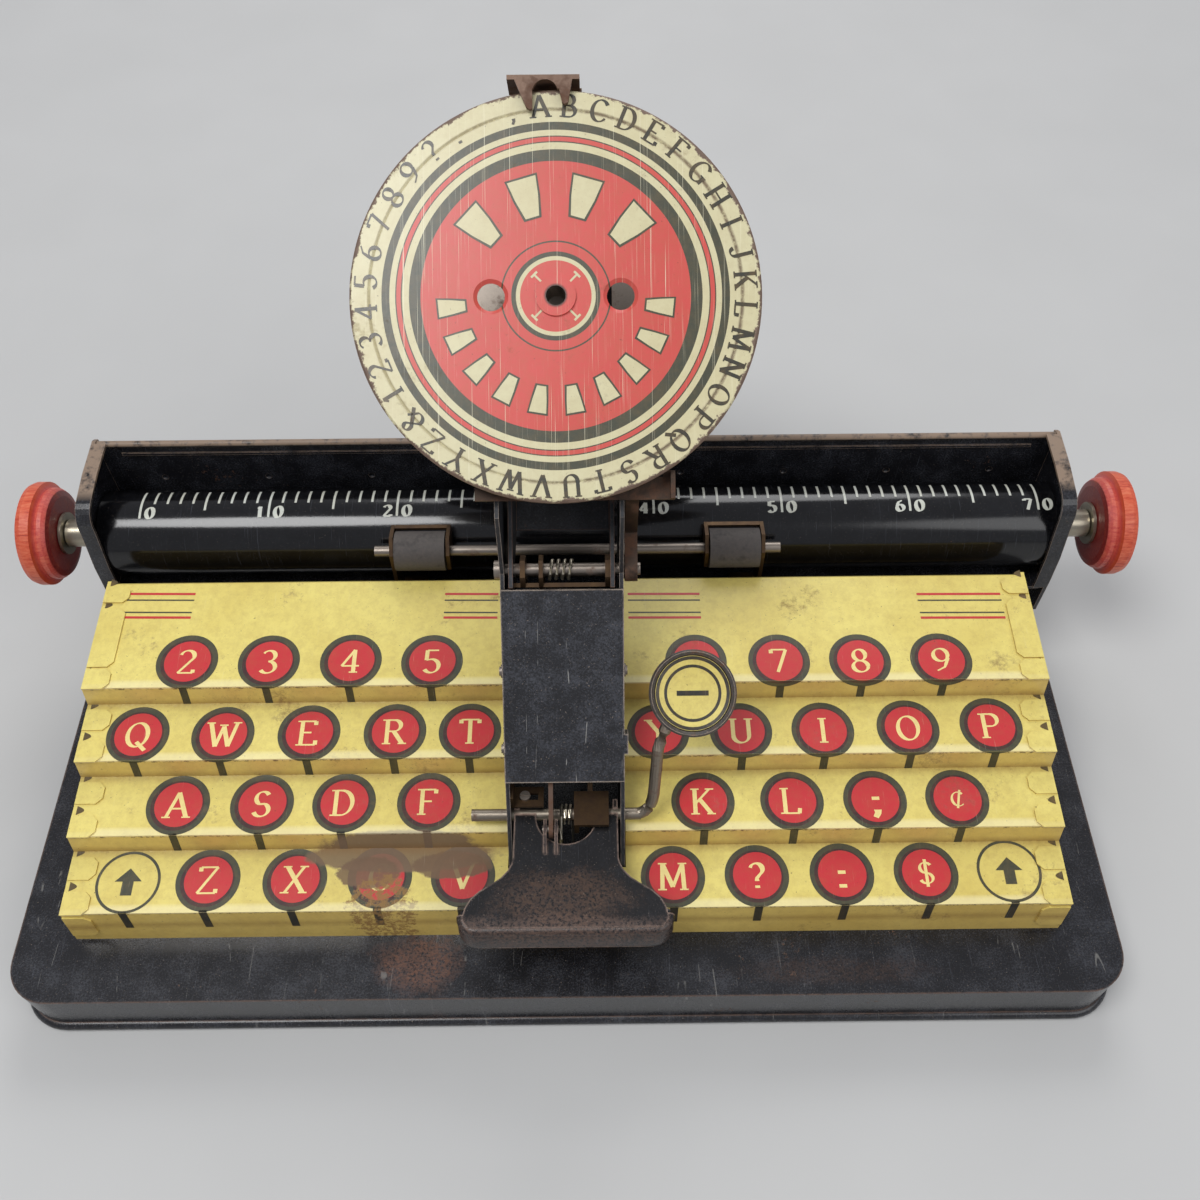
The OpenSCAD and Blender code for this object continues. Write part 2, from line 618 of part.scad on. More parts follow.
// sheet arm behind the dial, folded over its rim into a two-pronged pointer
module pointer_fork() color([0.35, 0.22, 0.14]) in_head() {
    difference() {
        translate([-9, 60, frame_w1]) cube([18, frame_u1 - 60, sheet]);
        translate([0, dial_u, 0]) cylinder(r = shaft_r + 2.4 + seat_fit, h = 20);
    }
    translate([-6, frame_u1 - sheet, frame_w1]) cube([12, sheet, fork_w0 + sheet - frame_w1]);
    translate([-6, frame_u1 - sheet, fork_w0]) cube([12, fork_top - frame_u1 + sheet, sheet]);
    translate([fork_x0, fork_top - sheet, fork_w0]) cube([fork_x1 - fork_x0, sheet, fork_w1 - fork_w0]);
    // front plate with the arch between its slanted prongs
    translate([0, 0, fork_w1 - sheet]) linear_extrude(sheet) difference() {
        polygon([for (q = [[fork_x0 + 1.2, 0], [fork_x1 - 1.4, 0], [3.1, -5.9], [2.4, -6.3], [1.8, -5.9], [1.2, -3], [-4.6, -3],
                 [-4.2, -7.1], [-5, -7.4], [-5.8, -7]]) q + [0, fork_top]]);
        translate([fork_arch_x, fork_top - sheet - fork_arch]) circle(r = fork_arch, $fn = fn_small);
        translate([fork_arch_x - fork_arch, fork_top - 8]) square([2 * fork_arch - 0.05, 7.2 - fork_arch]);
    }
}

module dial_bush() color([0.6, 0.5, 0.25]) in_dial() difference() {
    union() {
        translate([0, 0, frame_w1 - sheet]) cylinder(r = shaft_r + 1.2, h = 3);
        translate([0, 0, frame_w1]) cylinder(r = shaft_r + 2.4, h = sheet);
    }
    cylinder(r = shaft_r + run_fit, h = 20);
}

module link_pin_head() color([0.6, 0.6, 0.6]) in_head() {
    translate([lug_x - 0.8, link_u, link_w]) rotate([0, 90, 0])
        cylinder(r = link_pin_r, h = sheet + side_gap + bar_t + 1.4, $fn = fn_small);
    translate([lug_x - 0.8, link_u, link_w]) rotate([0, 90, 0]) cylinder(r = link_pin_r * 1.7, h = 0.8, $fn = fn_small);
}

// ---------- dial ----------
module dial_disc() color([0.75, 0.2, 0.1]) in_dial() difference() {
    rotate_extrude($fn = fn_big) polygon([
        [shaft_r + seat_fit, dial_w - dial_t], [40, dial_w - dial_t], [40.5, dial_w - dial_t - 0.2],
        [dial_r - 0.6, dial_w - dial_t - 0.2], [dial_r - 0.6, dial_w - dial_rim],
        [dial_r, dial_w - dial_rim], [dial_r, dial_w - 0.5], [dial_r - 0.5, dial_w], [40.6, dial_w],
        [40.2, dial_w - 0.25], [39.9, dial_w], [shaft_r + seat_fit, dial_w]
    ]);
    for (s = [-1, 1]) translate([s * finger_x, 0, dial_w]) {
        translate([0, 0, -3]) cylinder(r = finger_r, h = 4);
        translate([0, 0, 3.7]) sphere(r = 5.3);
    }
}

module dial_eyelet() color([0.3, 0.28, 0.26]) in_dial() difference() {
    translate([0, 0, dial_w]) cylinder(r = hub_r * 0.62, h = 0.6);
    translate([0, 0, dial_w - 1]) cylinder(r = 2.1, h = 3);
}

module dial_shaft() color([0.6, 0.6, 0.6]) in_dial() difference() {
    union() {
        translate([0, 0, shaft_w0]) cylinder(r = shaft_r, h = dial_w - shaft_w0);
        translate([0, 0, dial_w - dial_t - hub_l]) cylinder(r = hub_r, h = hub_l);
        translate([0, 0, frame_w0 - side_gap - 2]) cylinder(r = hub_r, h = 2);
    }
    translate([0, 0, dial_w - 8]) cylinder(r = 2.1, h = 10);
}

module type_wheel() color([0.35, 0.35, 0.36]) in_dial() difference() {
    union() {
        translate([0, 0, wheel_w]) cylinder(r = type_r - 1.2, h = wheel_t, $fn = fn_big);
        translate([0, 0, wheel_w]) cylinder(r = hub_r, h = 8);
    }
    translate([0, 0, wheel_w - 1]) cylinder(r = shaft_r + seat_fit, h = 20);
}

module type_ring() color([0.12, 0.1, 0.1]) in_dial() {
    difference() {
        translate([0, 0, wheel_w - type_base]) cylinder(r = type_r - 1.2, h = type_base, $fn = fn_big);
        translate([0, 0, wheel_w - type_base - 1]) cylinder(r = ring_in_r, h = type_base + 2, $fn = fn_big);
    }
    // one raised type per letter place
    for (i = [0:type_n - 1]) rotate([0, 0, 360 / type_n * i])
        translate([-1.3, type_r - 4, -type_w]) cube([2.6, 3.6, type_w + wheel_w - type_base + eps]);
}

// ---------- print lever and pull bar ----------
module pull_bar() color([0.62, 0.45, 0.3])
    translate([bar_x, link_b[0], link_b[1]]) rotate([bar_tilt, 0, 0]) difference() {
        union() {
            translate([0, 0, -1.7]) cube([bar_t, bar_len, 3.4]);
            rotate([0, 90, 0]) cylinder(r = 2.2, h = bar_t, $fn = fn_small);
            translate([0, bar_len, 0]) rotate([0, 90, 0]) cylinder(r = 2.4, h = bar_t, $fn = fn_small);
        }
        translate([-1, 0, 0]) rotate([0, 90, 0]) cylinder(r = link_pin_r + bar_slack, h = 4);
        translate([-1, bar_len, 0]) rotate([0, 90, 0]) cylinder(r = link_pin_r + run_fit, h = 4);
    }

module print_lever() color([0.16, 0.13, 0.11]) difference() {
    union() {
        // neck and flared front plate
        translate([0, 0, plate_z]) linear_extrude(sheet * 1.2) difference() {
            polygon(concat(lever_edge, [for (i = [len(lever_edge) - 1:-1:0]) [-lever_edge[i][0], lever_edge[i][1]]]));
            translate([0, notch_y + notch_half]) circle(r = notch_half);
        }
        // rolled lip that turns down, with round ends
        xcyl(lip_round - lip_half, lip_half - lip_round, [lip_y, plate_z - lip_r + sheet], lip_r, fn_small);
        for (s = [-1, 1]) translate([s * (lip_half - lip_round), lip_y + lip_round, plate_z - lip_r + sheet])
            rotate([0, 0, s > 0 ? -90 : 180]) rotate_extrude(angle = 90, $fn = fn_small * 2) translate([lip_round, 0]) circle(r = lip_r, $fn = fn_small);
        yz(lip_round - lip_half, lip_half - lip_round, [[lip_y - lip_r, plate_z - 0.8], [lip_y - 0.6, plate_z - 0.8], [6.8, 37], [5.8, 37]]);
        // ears on the rod
        for (x = [-neck_half, neck_half - 1.2]) yz(x, x + 1.2, [[26.5, plate_z + 0.5], [lever_y + 3.2, plate_z + 1.2],
            [lever_y + 3.6, lever_z - 1], [lever_y + 2, lever_z - 3.6], [lever_y - 2.4, lever_z - 3.6]]);
        // two lugs for the link pin
        for (x = [lug_x, bar_x + bar_t + side_gap]) yz(x, x + 0.8, [[notch_y - 3, plate_z + 1], [link_b[0] + 2, link_b[1] - 1.4],
            [link_b[0] + 2, link_b[1] + 1.6], [link_b[0] - 2, link_b[1] + 1.9]]);
    }
    xcyl(-20, 20, lever_p, rod_r + run_fit);
    xcyl(bar_x - 2, bar_x + bar_t + 2, link_b, link_pin_r + seat_fit);
}

module link_pin_lever() color([0.6, 0.6, 0.6])
    xcyl(lug_x - 0.3, bar_x + bar_t + 1.3, link_b, link_pin_r, fn_small);

// ---------- space lever ----------
function bend(a, b, c, n) = [for (i = [0:n]) let (t = i / n) a * (1 - t) * (1 - t) + b * 2 * t * (1 - t) + c * t * t];
rod_end_x = 18.6;
rod_path = concat([[15, lever_y, lever_z]],
    bend([17.5, lever_y, lever_z], [21.2, lever_y + 0.2, lever_z + 0.4], [21.7, 40.4, lever_z + 6], 6),
    bend([22.6, 46.2, 60], [24.4, 50.2, 64.3], [28.4, 56.7, 68], 6));
module space_rod() color([0.55, 0.53, 0.5]) {
    xcyl(-23.5, rod_end_x, lever_p, rod_r, fn_small);
    tube(rod_path, rod_r - 0.04, 14);
    // flat foot under the key
    in_key() translate([-2.3, 0, -4.2]) cylinder(r = 3, h = 0.8, $fn = fn_small);
}

module in_key() { translate(key_c) rotate([key_tilt, 0, 0]) children(); }
module space_key_cup() color([0.2, 0.19, 0.18]) in_key()
    rotate_extrude($fn = fn_big) polygon([[0, -3.4], [key_r - 1.2, -3.4], [key_r, -2.4], [key_r, 0], [key_r - 0.5, 0.6],
        [key_r - 1.2, 0], [key_r - 1.4, -1.4], [0, -1.4]]);
module space_key_face() color([0.93, 0.84, 0.5]) in_key() difference() {
    translate([0, 0, -1.4]) cylinder(r = key_r - 1.5, h = 1.3, $fn = fn_big);
    translate([0, 0, 60 - 1.1]) sphere(r = 60, $fn = 200);
}

// arm from the rod back to the feed rack, with a saddle on the rod
module feed_arm() color([0.72, 0.55, 0.2]) difference() {
    union() {
        yz(5.4, 6.6, [[lever_y - 2.4, lever_z - 2.6], [lever_y - 2.4, lever_z + 3.4], [lever_y + 4, lever_z + 3.4],
                     [60, 38.4], [rack_front + 4, 29.6], [rack_front + 4, 26.6], [60, 33.6]]);
        yz(2, 10.6, [[lever_y - 4.6, lever_z + 2.4], [lever_y + 4.6, lever_z + 2.4], [lever_y + 4.6, lever_z + 3.4],
                     [lever_y - 4.6, lever_z + 3.4]]);
        yz(2, 3.2, [[lever_y - 4, lever_z - 2.4], [lever_y - 4.6, lever_z + 3.4], [lever_y + 4.6, lever_z + 3.4],
                    [lever_y + 4, lever_z - 2.4]]);
        // nose under the rack
        translate([5.4, rack_front + 1.4, 27]) cube([3, 2.6, tray_z - 4 - side_gap - 27]);
    }
    xcyl(0, 20, lever_p, rod_r + seat_fit);
}

// slotted bracket on the left wall that stops the lever at rest, with its screw
stop_z = 44.9;
module stop_bracket() color([0.72, 0.55, 0.2]) difference() {
    union() {
        translate([-col_in, lever_y + 0.4, stop_z]) cube([8, 5.4, 0.8]);
        translate([-col_in, lever_y + 0.4, stop_z]) cube([0.7, 5.4, 5]);
    }
    translate([-col_in + 2, lever_y + 2.2, stop_z - 1]) cube([4.6, 1.8, 3]);
}
module stop_screw() color([0.8, 0.8, 0.78])
    translate([-col_in + 3.4, lever_y + 3.1, stop_z - 0.8]) difference() {
        union() {
            cylinder(r = 0.8, h = 2, $fn = fn_small);
            translate([0, 0, 1.6]) cylinder(r = 1.3, h = 0.7, $fn = fn_small);
        }
        translate([-2, -0.15, 2]) cube([4, 0.3, 1]);
    }

// torsion spring on the rod: hooked front leg, rear leg down to the deck
space_coil_r = 2.4;
space_wire_r = 0.35;
space_curls = 2.25;
space_coil_pitch = 1.1;
module space_spring() color([0.6, 0.58, 0.5]) {
    x0 = -1.2;
    lead = [for (p = [[-7, -1.8], [-6.7, 0.2], [-4.6, 2], [-2, 2.6]]) [x0, lever_y + p[0], lever_z + p[1]]];
    coil = [for (i = [0:space_curls * 8]) let (a = 90 - 45 * i)
        [x0 + space_coil_pitch * i / 8, lever_y + space_coil_r * cos(a), lever_z + space_coil_r * sin(a)]];
    last = coil[len(coil) - 1];
    tube(concat(lead, coil, [[last[0], last[1] + 0.1, lever_z - 4], [last[0], last[1], base_h + space_wire_r]]), space_wire_r);
}
echo("space spring: least gap between curls, mm", space_coil_pitch - 2 * space_wire_r);

// ---------- build ----------
base_pan();
keyboard_panel();
cheek_left();
cheek_right();
column_side_left();
column_side_right();
column_cover();
column_rivets();
pivot_shaft();
spring_post();
head_spring();
guide_rail();
rail_screws();
carriage_tray();
end_plate_left();
end_plate_right();
guide_shoes();
rack();
roller_brackets();
platen_tube();
platen_caps();
platen_spindle();
knob_left();
knob_right();
knob_washers();
feed_shaft();
feed_roller_left();
feed_roller_right();
head_frame();
head_cradle();
index_spring();
pointer_fork();
dial_bush();
link_pin_head();
dial_disc();
dial_eyelet();
dial_shaft();
type_wheel();
type_ring();
pull_bar();
print_lever();
link_pin_lever();
space_rod();
space_key_cup();
space_key_face();
feed_arm();
stop_bracket();
stop_screw();
space_spring();
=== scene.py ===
# Looks of the toy index typewriter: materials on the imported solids, and the printed
# graphics (keys, dial, scale, pinstripes) as thin pieces that lie on them.
import math

import bpy
from mathutils import Euler, Matrix, Vector


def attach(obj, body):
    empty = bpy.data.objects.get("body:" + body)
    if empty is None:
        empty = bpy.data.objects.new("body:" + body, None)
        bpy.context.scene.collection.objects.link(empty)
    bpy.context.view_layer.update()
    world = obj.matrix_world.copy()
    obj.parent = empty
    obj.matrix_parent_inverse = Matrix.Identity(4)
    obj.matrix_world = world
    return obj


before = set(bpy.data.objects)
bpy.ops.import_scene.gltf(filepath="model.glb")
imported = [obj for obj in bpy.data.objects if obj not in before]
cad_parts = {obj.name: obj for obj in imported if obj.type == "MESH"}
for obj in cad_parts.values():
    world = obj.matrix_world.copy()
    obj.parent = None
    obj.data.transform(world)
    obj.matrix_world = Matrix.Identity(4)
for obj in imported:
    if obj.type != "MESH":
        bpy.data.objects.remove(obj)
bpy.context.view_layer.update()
MM = 0.001
LIFT = 0.05  # mm, how far a print stands off its sheet

# ---------------------------------------------------------------- sizes, mm, as in the part's source
PANEL_HALF = 124.0
STEP_PITCH, RISER_H, RISER_RUN, TREAD_RISE = 17.45, 6.0, 1.35, 0.95
NOSE_Y, NOSE_Z = 17.7, 31.3
DECK_Z = 18.0
TOP_SLOPE = math.radians(3.4)  # of the uppermost tread, which runs on to the rear
PIVOT = (78.0, 90.0)
DIAL_TILT = math.radians(36)
DIAL_U, DIAL_FACE = 58.1, 25.8
PLATEN = (124.0, 49.5)
PLATEN_R = 12.0
KEY_CENTRE = (30.7, 54.0, 72.6)
KEY_TILT = math.radians(32)
# radii that only the looks use: where the knob's colour changes, and the dial's groove and worn rim
KNOB_FACE_R, KNOB_RIM_R = 12.2, 13.8
GROOVE_R, RIM_R = 40.2, 43.85

# ---------------------------------------------------------------- colours, linear
def srgb(r, g, b):
    f = lambda c: ((c / 255 + 0.055) / 1.055) ** 2.4 if c > 10 else c / 255 / 12.92
    return (f(r), f(g), f(b), 1.0)


YELLOW = srgb(228, 212, 122)
RISER_SHADE = srgb(206, 170, 92)
CREAM = srgb(212, 205, 166)
RED = srgb(198, 52, 58)
DIAL_RED = srgb(208, 80, 74)
OLIVE = srgb(68, 70, 56)
INK_DARK = srgb(46, 46, 40)
BLACK = srgb(24, 24, 27)
RUST = srgb(112, 76, 52)
ORANGE_RUST = srgb(150, 92, 58)
DARK_RUST = srgb(70, 50, 40)
PALE_METAL = srgb(176, 160, 144)
HAZE_SHEEN = srgb(98, 101, 110)
STEEL = srgb(150, 140, 130)
LACQUER = srgb(84, 64, 42)
WOOD_ORANGE = srgb(196, 72, 44)
WOOD_PINK = srgb(186, 64, 60)
WOOD_DARK = srgb(118, 26, 30)
RUBBER = srgb(62, 60, 60)


# ---------------------------------------------------------------- node helpers
class Nodes:
    """A short way to write a node tree: most calls add nodes and return the output of the last one."""

    def __init__(self, name):
        self.mat = bpy.data.materials.new(name)
        self.mat.use_nodes = True
        self.nt = self.mat.node_tree
        self.bsdf = self.nt.nodes["Principled BSDF"]
        self.coord = self.nt.nodes.new("ShaderNodeTexCoord").outputs["Object"]

    def put(self, socket, v):
        """Links v to the socket if it is an output, and otherwise sets the socket to it."""
        if isinstance(v, bpy.types.NodeSocket):
            self.nt.links.new(v, socket)
        else:
            socket.default_value = v

    def add(self, kind, inputs=None, out=0, **props):
        n = self.nt.nodes.new(kind)
        for k, v in props.items():
            setattr(n, k, v)
        for k, v in (inputs or {}).items():
            self.put(n.inputs[k], v)
        return n.outputs[out]

    def math(self, op, a, b=0.0, c=0.0, clamp=False):
        return self.add("ShaderNodeMath", {0: a, 1: b, 2: c}, operation=op, use_clamp=clamp)

    def plus(self, a, b):
        return self.math("ADD", a, b)

    def minus(self, a, b):
        return self.math("SUBTRACT", a, b)

    def mul(self, a, b, clamp=False):
        return self.math("MULTIPLY", a, b, clamp=clamp)

    def gap(self, a, b):
        """How far a is from b."""
        return self.math("ABSOLUTE", self.minus(a, b))

    def hypot(self, a, b):
        return self.math("SQRT", self.plus(self.mul(a, a), self.mul(b, b)))

    def noise(self, scale, detail=4.0, rough=0.6, vec=None, distort=0.0, out="Fac"):
        """Noise with a feature size in millimetres."""
        return self.add("ShaderNodeTexNoise", {"Vector": vec or self.coord, "Scale": 1 / (scale * MM),
                        "Detail": detail, "Roughness": rough, "Distortion": distort}, out)

    def ramp(self, fac, lo, hi):
        return self.add("ShaderNodeMapRange", {0: fac, 1: lo, 2: hi}, clamp=True)

    def mix(self, fac, a, b, kind="MIX"):
        n = self.nt.nodes.new("ShaderNodeMix")
        n.data_type, n.blend_type = "RGBA", kind
        for i, v in ((0, fac), (6, a), (7, b)):
            self.put(n.inputs[i], v)
        return n.outputs[2]

    def stretch(self, sx, sy, sz, turn=(0, 0, 0)):
        return self.add("ShaderNodeMapping", {"Vector": self.coord, "Scale": (sx, sy, sz), "Rotation": turn})

    def xyz(self, vec=None):
        n = self.nt.nodes.new("ShaderNodeSeparateXYZ")
        self.put(n.inputs[0], vec or self.coord)
        return n.outputs

    def normal(self, axis):
        """How far the surface faces along axis, from -1 to 1."""
        geo = self.nt.nodes.new("ShaderNodeNewGeometry")
        ends = {0: geo.outputs["Normal"], 1: axis}
        return self.add("ShaderNodeVectorMath", ends, "Value", operation="DOT_PRODUCT")

    def edge(self, size=0.5):
        """1 on edges and corners, 0 on flats."""
        rounded = self.add("ShaderNodeBevel", {"Radius": size * MM}, samples=6)
        return self.ramp(self.normal(rounded), 0.985, 0.8)

    def bump(self, height, strength=0.3, size=0.1):
        out = self.add("ShaderNodeBump", {"Strength": strength, "Distance": size * MM, "Height": height})
        self.nt.links.new(out, self.bsdf.inputs["Normal"])

    def finish(self, colour, rough, metal=0.0):
        for socket, v in (("Base Color", colour), ("Roughness", rough), ("Metallic", metal)):
            self.put(self.bsdf.inputs[socket], v)
        return self.mat


def scratches(n, turn=0.0, fine=0.35, length=14.0, low=0.66):
    """Thin lines that run along one direction."""
    v = n.stretch(1 / fine, 1 / length, 1 / length, (0, 0, turn))
    return n.ramp(n.add("ShaderNodeTexNoise",
                        {"Vector": v, "Scale": 1 / MM, "Detail": 3.0, "Roughness": 0.7}), low, low + 0.06)


def hairlines(n, size=9.0, width=0.004, cover=0.56, turn=0.0, squash=0.06):
    """Long thin wandering scratches: level lines of a stretched noise, kept only in places."""
    v = n.stretch(1, squash, squash, (0, 0, turn))
    level = n.add("ShaderNodeTexNoise",
                  {"Vector": v, "Scale": 1 / (size * MM), "Detail": 1.0, "Roughness": 0.4})
    line = n.ramp(n.gap(level, 0.5), width, width * 0.3)
    return n.mul(line, n.ramp(n.noise(size * 0.9, 2), cover, cover + 0.05))


def blob(n, place, radii, rough=0.5, size=6, cut=0.06):
    """A ragged patch: 1 inside an ellipse of x and y, with a torn edge."""
    x = n.xyz()
    d = [n.math("DIVIDE", n.minus(x[i], place[i] * MM), radii[i] * MM) for i in (0, 1)]
    r = n.hypot(*d)
    torn = n.plus(r, n.mul(n.minus(n.noise(size, 7, 0.72), 0.5), 2 * rough))
    return n.ramp(torn, 1.0 + cut, 1.0 - cut)


def japanned(name, base=BLACK, edge=DARK_RUST, wear=0.5, rough=0.3, speck=0.3, haze_sheen=0.3, patches=(),
             size=0.6, top=None, hair=0.0):
    """Black stoved enamel: worn edges, rusty patches, blue-grey bloom that is partly painted sheen, fine
    specks and scratches.
    """
    n = Nodes(name)
    cloud = n.noise(24, 6, 0.66)
    fine = n.noise(1.5, 6, 0.78)
    mixed = n.plus(n.mul(cloud, 0.55), n.mul(fine, 0.45))
    worn = n.ramp(mixed, 0.64 - 0.1 * wear, 0.69 - 0.07 * wear)
    # blue-grey clouding: partly bloom on the enamel, partly painted sheen
    mist = n.plus(n.mul(n.noise(8, 5, 0.7), 0.4), n.mul(n.noise(0.5, 5, 0.85), 0.6))
    haze_sheen_mask = n.mul(n.ramp(mist, 0.47, 0.64), haze_sheen)
    specks = n.mul(n.ramp(n.noise(0.45, 3, 0.7), 0.64, 0.70), speck)
    scratch = n.mul(n.math("MAXIMUM", scratches(n, 0.5), scratches(n, -0.9, 0.25, 22)), 0.3)
    col = n.mix(haze_sheen_mask, base, HAZE_SHEEN)
    col = n.mix(worn, col, n.mix(fine, DARK_RUST, RUST))
    grain = n.ramp(n.noise(0.7, 6, 0.8), 0.42, 0.56)
    for place, radii, colour, strength in patches:
        mask = n.mul(blob(n, place, radii, 0.8, 7, 0.3), n.mul(grain, strength))
        col = n.mix(mask, col, n.mix(n.noise(2.2, 5), colour, DARK_RUST))
        worn = n.math("MAXIMUM", worn, mask)
    if top:
        bare = n.mul(n.ramp(n.xyz()[2], (top - 0.5) * MM, top * MM), n.ramp(n.noise(3, 5, 0.7), 0.32, 0.5))
        col = n.mix(bare, col, srgb(136, 116, 98))
        worn = n.math("MAXIMUM", worn, bare)
    col = n.mix(specks, col, PALE_METAL)
    col = n.mix(scratch, col, HAZE_SHEEN)
    if hair:
        lines = n.math("MAXIMUM", hairlines(n, 9, 0.0035, 0.56, 0.45), hairlines(n, 7, 0.0035, 0.57, -0.6))
        col = n.mix(n.mul(lines, hair), col, srgb(168, 166, 160))
    if edge:
        edges = n.mul(n.edge(size), n.ramp(n.noise(2.6, 5, 0.7), 0.30, 0.52), clamp=True)
        col = n.mix(edges, col, edge)
        worn = n.math("MAXIMUM", worn, edges)
    n.bump(n.minus(n.mul(fine, 0.6), worn), 0.3, 0.06)
    return n.finish(col, n.plus(rough, n.mul(n.plus(worn, haze_sheen_mask), 0.3)), 0.0)


def bare_steel(name, base=STEEL, rust=0.5, rough=0.42):
    n = Nodes(name)
    cloud = n.ramp(n.noise(6, 5, 0.7), 0.62 - 0.2 * rust, 0.78 - 0.2 * rust)
    grain = n.noise(0.5, 4, 0.7)
    col = n.mix(n.mul(grain, 0.5), base, [c * 0.45 for c in base[:3]] + [1.0])
    col = n.mix(cloud, col, n.mix(grain, DARK_RUST, RUST))
    n.bump(grain, 0.25, 0.06)
    return n.finish(col, n.plus(rough, n.mul(cloud, 0.3)), n.minus(0.9, n.mul(cloud, 0.7)))


def lacquer(name):
    n = Nodes(name)
    cloud = n.noise(3.5, 5, 0.7)
    col = n.mix(n.ramp(cloud, 0.35, 0.7), LACQUER, srgb(62, 46, 34))
    col = n.mix(n.ramp(n.noise(0.8, 4), 0.6, 0.7), col, DARK_RUST)
    n.bump(n.noise(0.6, 3), 0.2, 0.05)
    return n.finish(col, n.plus(0.34, n.mul(cloud, 0.2)), 0.75)


def rubber(name):
    n = Nodes(name)
    fine = n.noise(0.9, 5, 0.7)
    col = n.mix(fine, RUBBER, srgb(96, 88, 82))
    col = n.mix(n.ramp(n.noise(3.5, 4), 0.55, 0.75), col, srgb(48, 44, 42))
    n.bump(fine, 0.4, 0.1)
    return n.finish(col, 0.72)


def turned_wood(name):
    """Stained wood: dark inner face, pinker shoulder and orange-red rim, with fine grain along the axis."""
    n = Nodes(name)
    x = n.xyz()
    grain = n.add("ShaderNodeTexNoise",
                  {"Vector": n.stretch(0.16, 1, 1), "Scale": 1 / (0.7 * MM), "Detail": 5.0,
                   "Roughness": 0.75})
    dy, dz = n.minus(x[1], PLATEN[0] * MM), n.minus(x[2], PLATEN[1] * MM)
    radius = n.hypot(dy, dz)
    col = n.mix(n.ramp(radius, (KNOB_FACE_R - 0.3) * MM, (KNOB_FACE_R + 0.3) * MM), WOOD_DARK, WOOD_PINK)
    col = n.mix(n.ramp(radius, (KNOB_RIM_R - 0.3) * MM, (KNOB_RIM_R + 0.3) * MM), col, WOOD_ORANGE)
    side = n.minus(1.0, n.mul(n.math("ABSOLUTE", n.normal((1, 0, 0))), 0.8))
    col = n.mix(n.mul(n.mul(n.ramp(grain, 0.42, 0.62), 0.5), side), col, srgb(226, 138, 100))
    col = n.mix(n.mul(n.mul(n.ramp(grain, 0.46, 0.3), 0.6), side), col, srgb(112, 30, 22))
    worn = n.ramp(n.noise(4, 5, 0.7), 0.54, 0.7)
    col = n.mix(n.mul(worn, 0.35), col, srgb(214, 120, 88))
    n.bump(grain, 0.5, 0.12)
    return n.finish(col, n.plus(0.42, n.mul(worn, 0.25)))


# rust on the panel left of the lever: centre, radii, colour, raggedness
RUST_SPOTS = (((-41.5, 31.6), (24, 4.2), srgb(124, 104, 82), 0.24),
              ((-29, 29.2), (10, 3.6), srgb(118, 96, 72), 0.4),
              ((-50, 27.4), (8, 4.0), srgb(116, 94, 72), 0.4), ((-46, 19), (8, 7.5), srgb(150, 116, 62), 0.9))


def tin_wear(n, col, amount=1.0, spots=True):
    """Stains, rust and rubbed spots that run over a print and its ground alike."""
    blot = n.ramp(n.plus(n.mul(n.noise(18, 5, 0.65), 0.6), n.mul(n.noise(1.8, 6, 0.8), 0.4)), 0.575, 0.66)
    specks = n.ramp(n.noise(0.8, 4, 0.75), 0.66, 0.70)
    tint = n.ramp(n.noise(30, 4), 0.35, 0.75)
    mottle = n.mul(n.ramp(n.noise(2.6, 6, 0.8), 0.42, 0.72), 0.24 * amount)
    hair = n.mul(scratches(n, 0.3, 0.22, 10), 0.20)
    col = n.mix(n.mul(tint, 0.30 * amount), col, srgb(200, 176, 104), "MULTIPLY")
    col = n.mix(mottle, col, srgb(150, 118, 66))
    col = n.mix(n.mul(blot, 0.5 * amount), col, n.mix(n.noise(1.2, 5), srgb(140, 104, 62), DARK_RUST))
    col = n.mix(n.mul(specks, 0.75 * amount), col, DARK_RUST)
    if spots:
        for place, radii, colour, torn in RUST_SPOTS:
            mask = blob(n, place, radii, torn, 5)
            if torn > 0.6:
                mask = n.mul(mask, n.ramp(n.noise(1.4, 6, 0.75), 0.44, 0.54))
            rust = n.mix(n.noise(1.8, 6, 0.75), n.mix(0.12, colour, ORANGE_RUST),
                         n.mix(0.35, colour, DARK_RUST))
            col = n.mix(n.mul(mask, 0.9), col, rust)
            blot = n.math("MAXIMUM", blot, mask)
    return n.mix(hair, col, srgb(236, 228, 200)), blot


def nose_line(i):
    return NOSE_Y + i * STEP_PITCH, NOSE_Z + i * (RISER_H + TREAD_RISE)


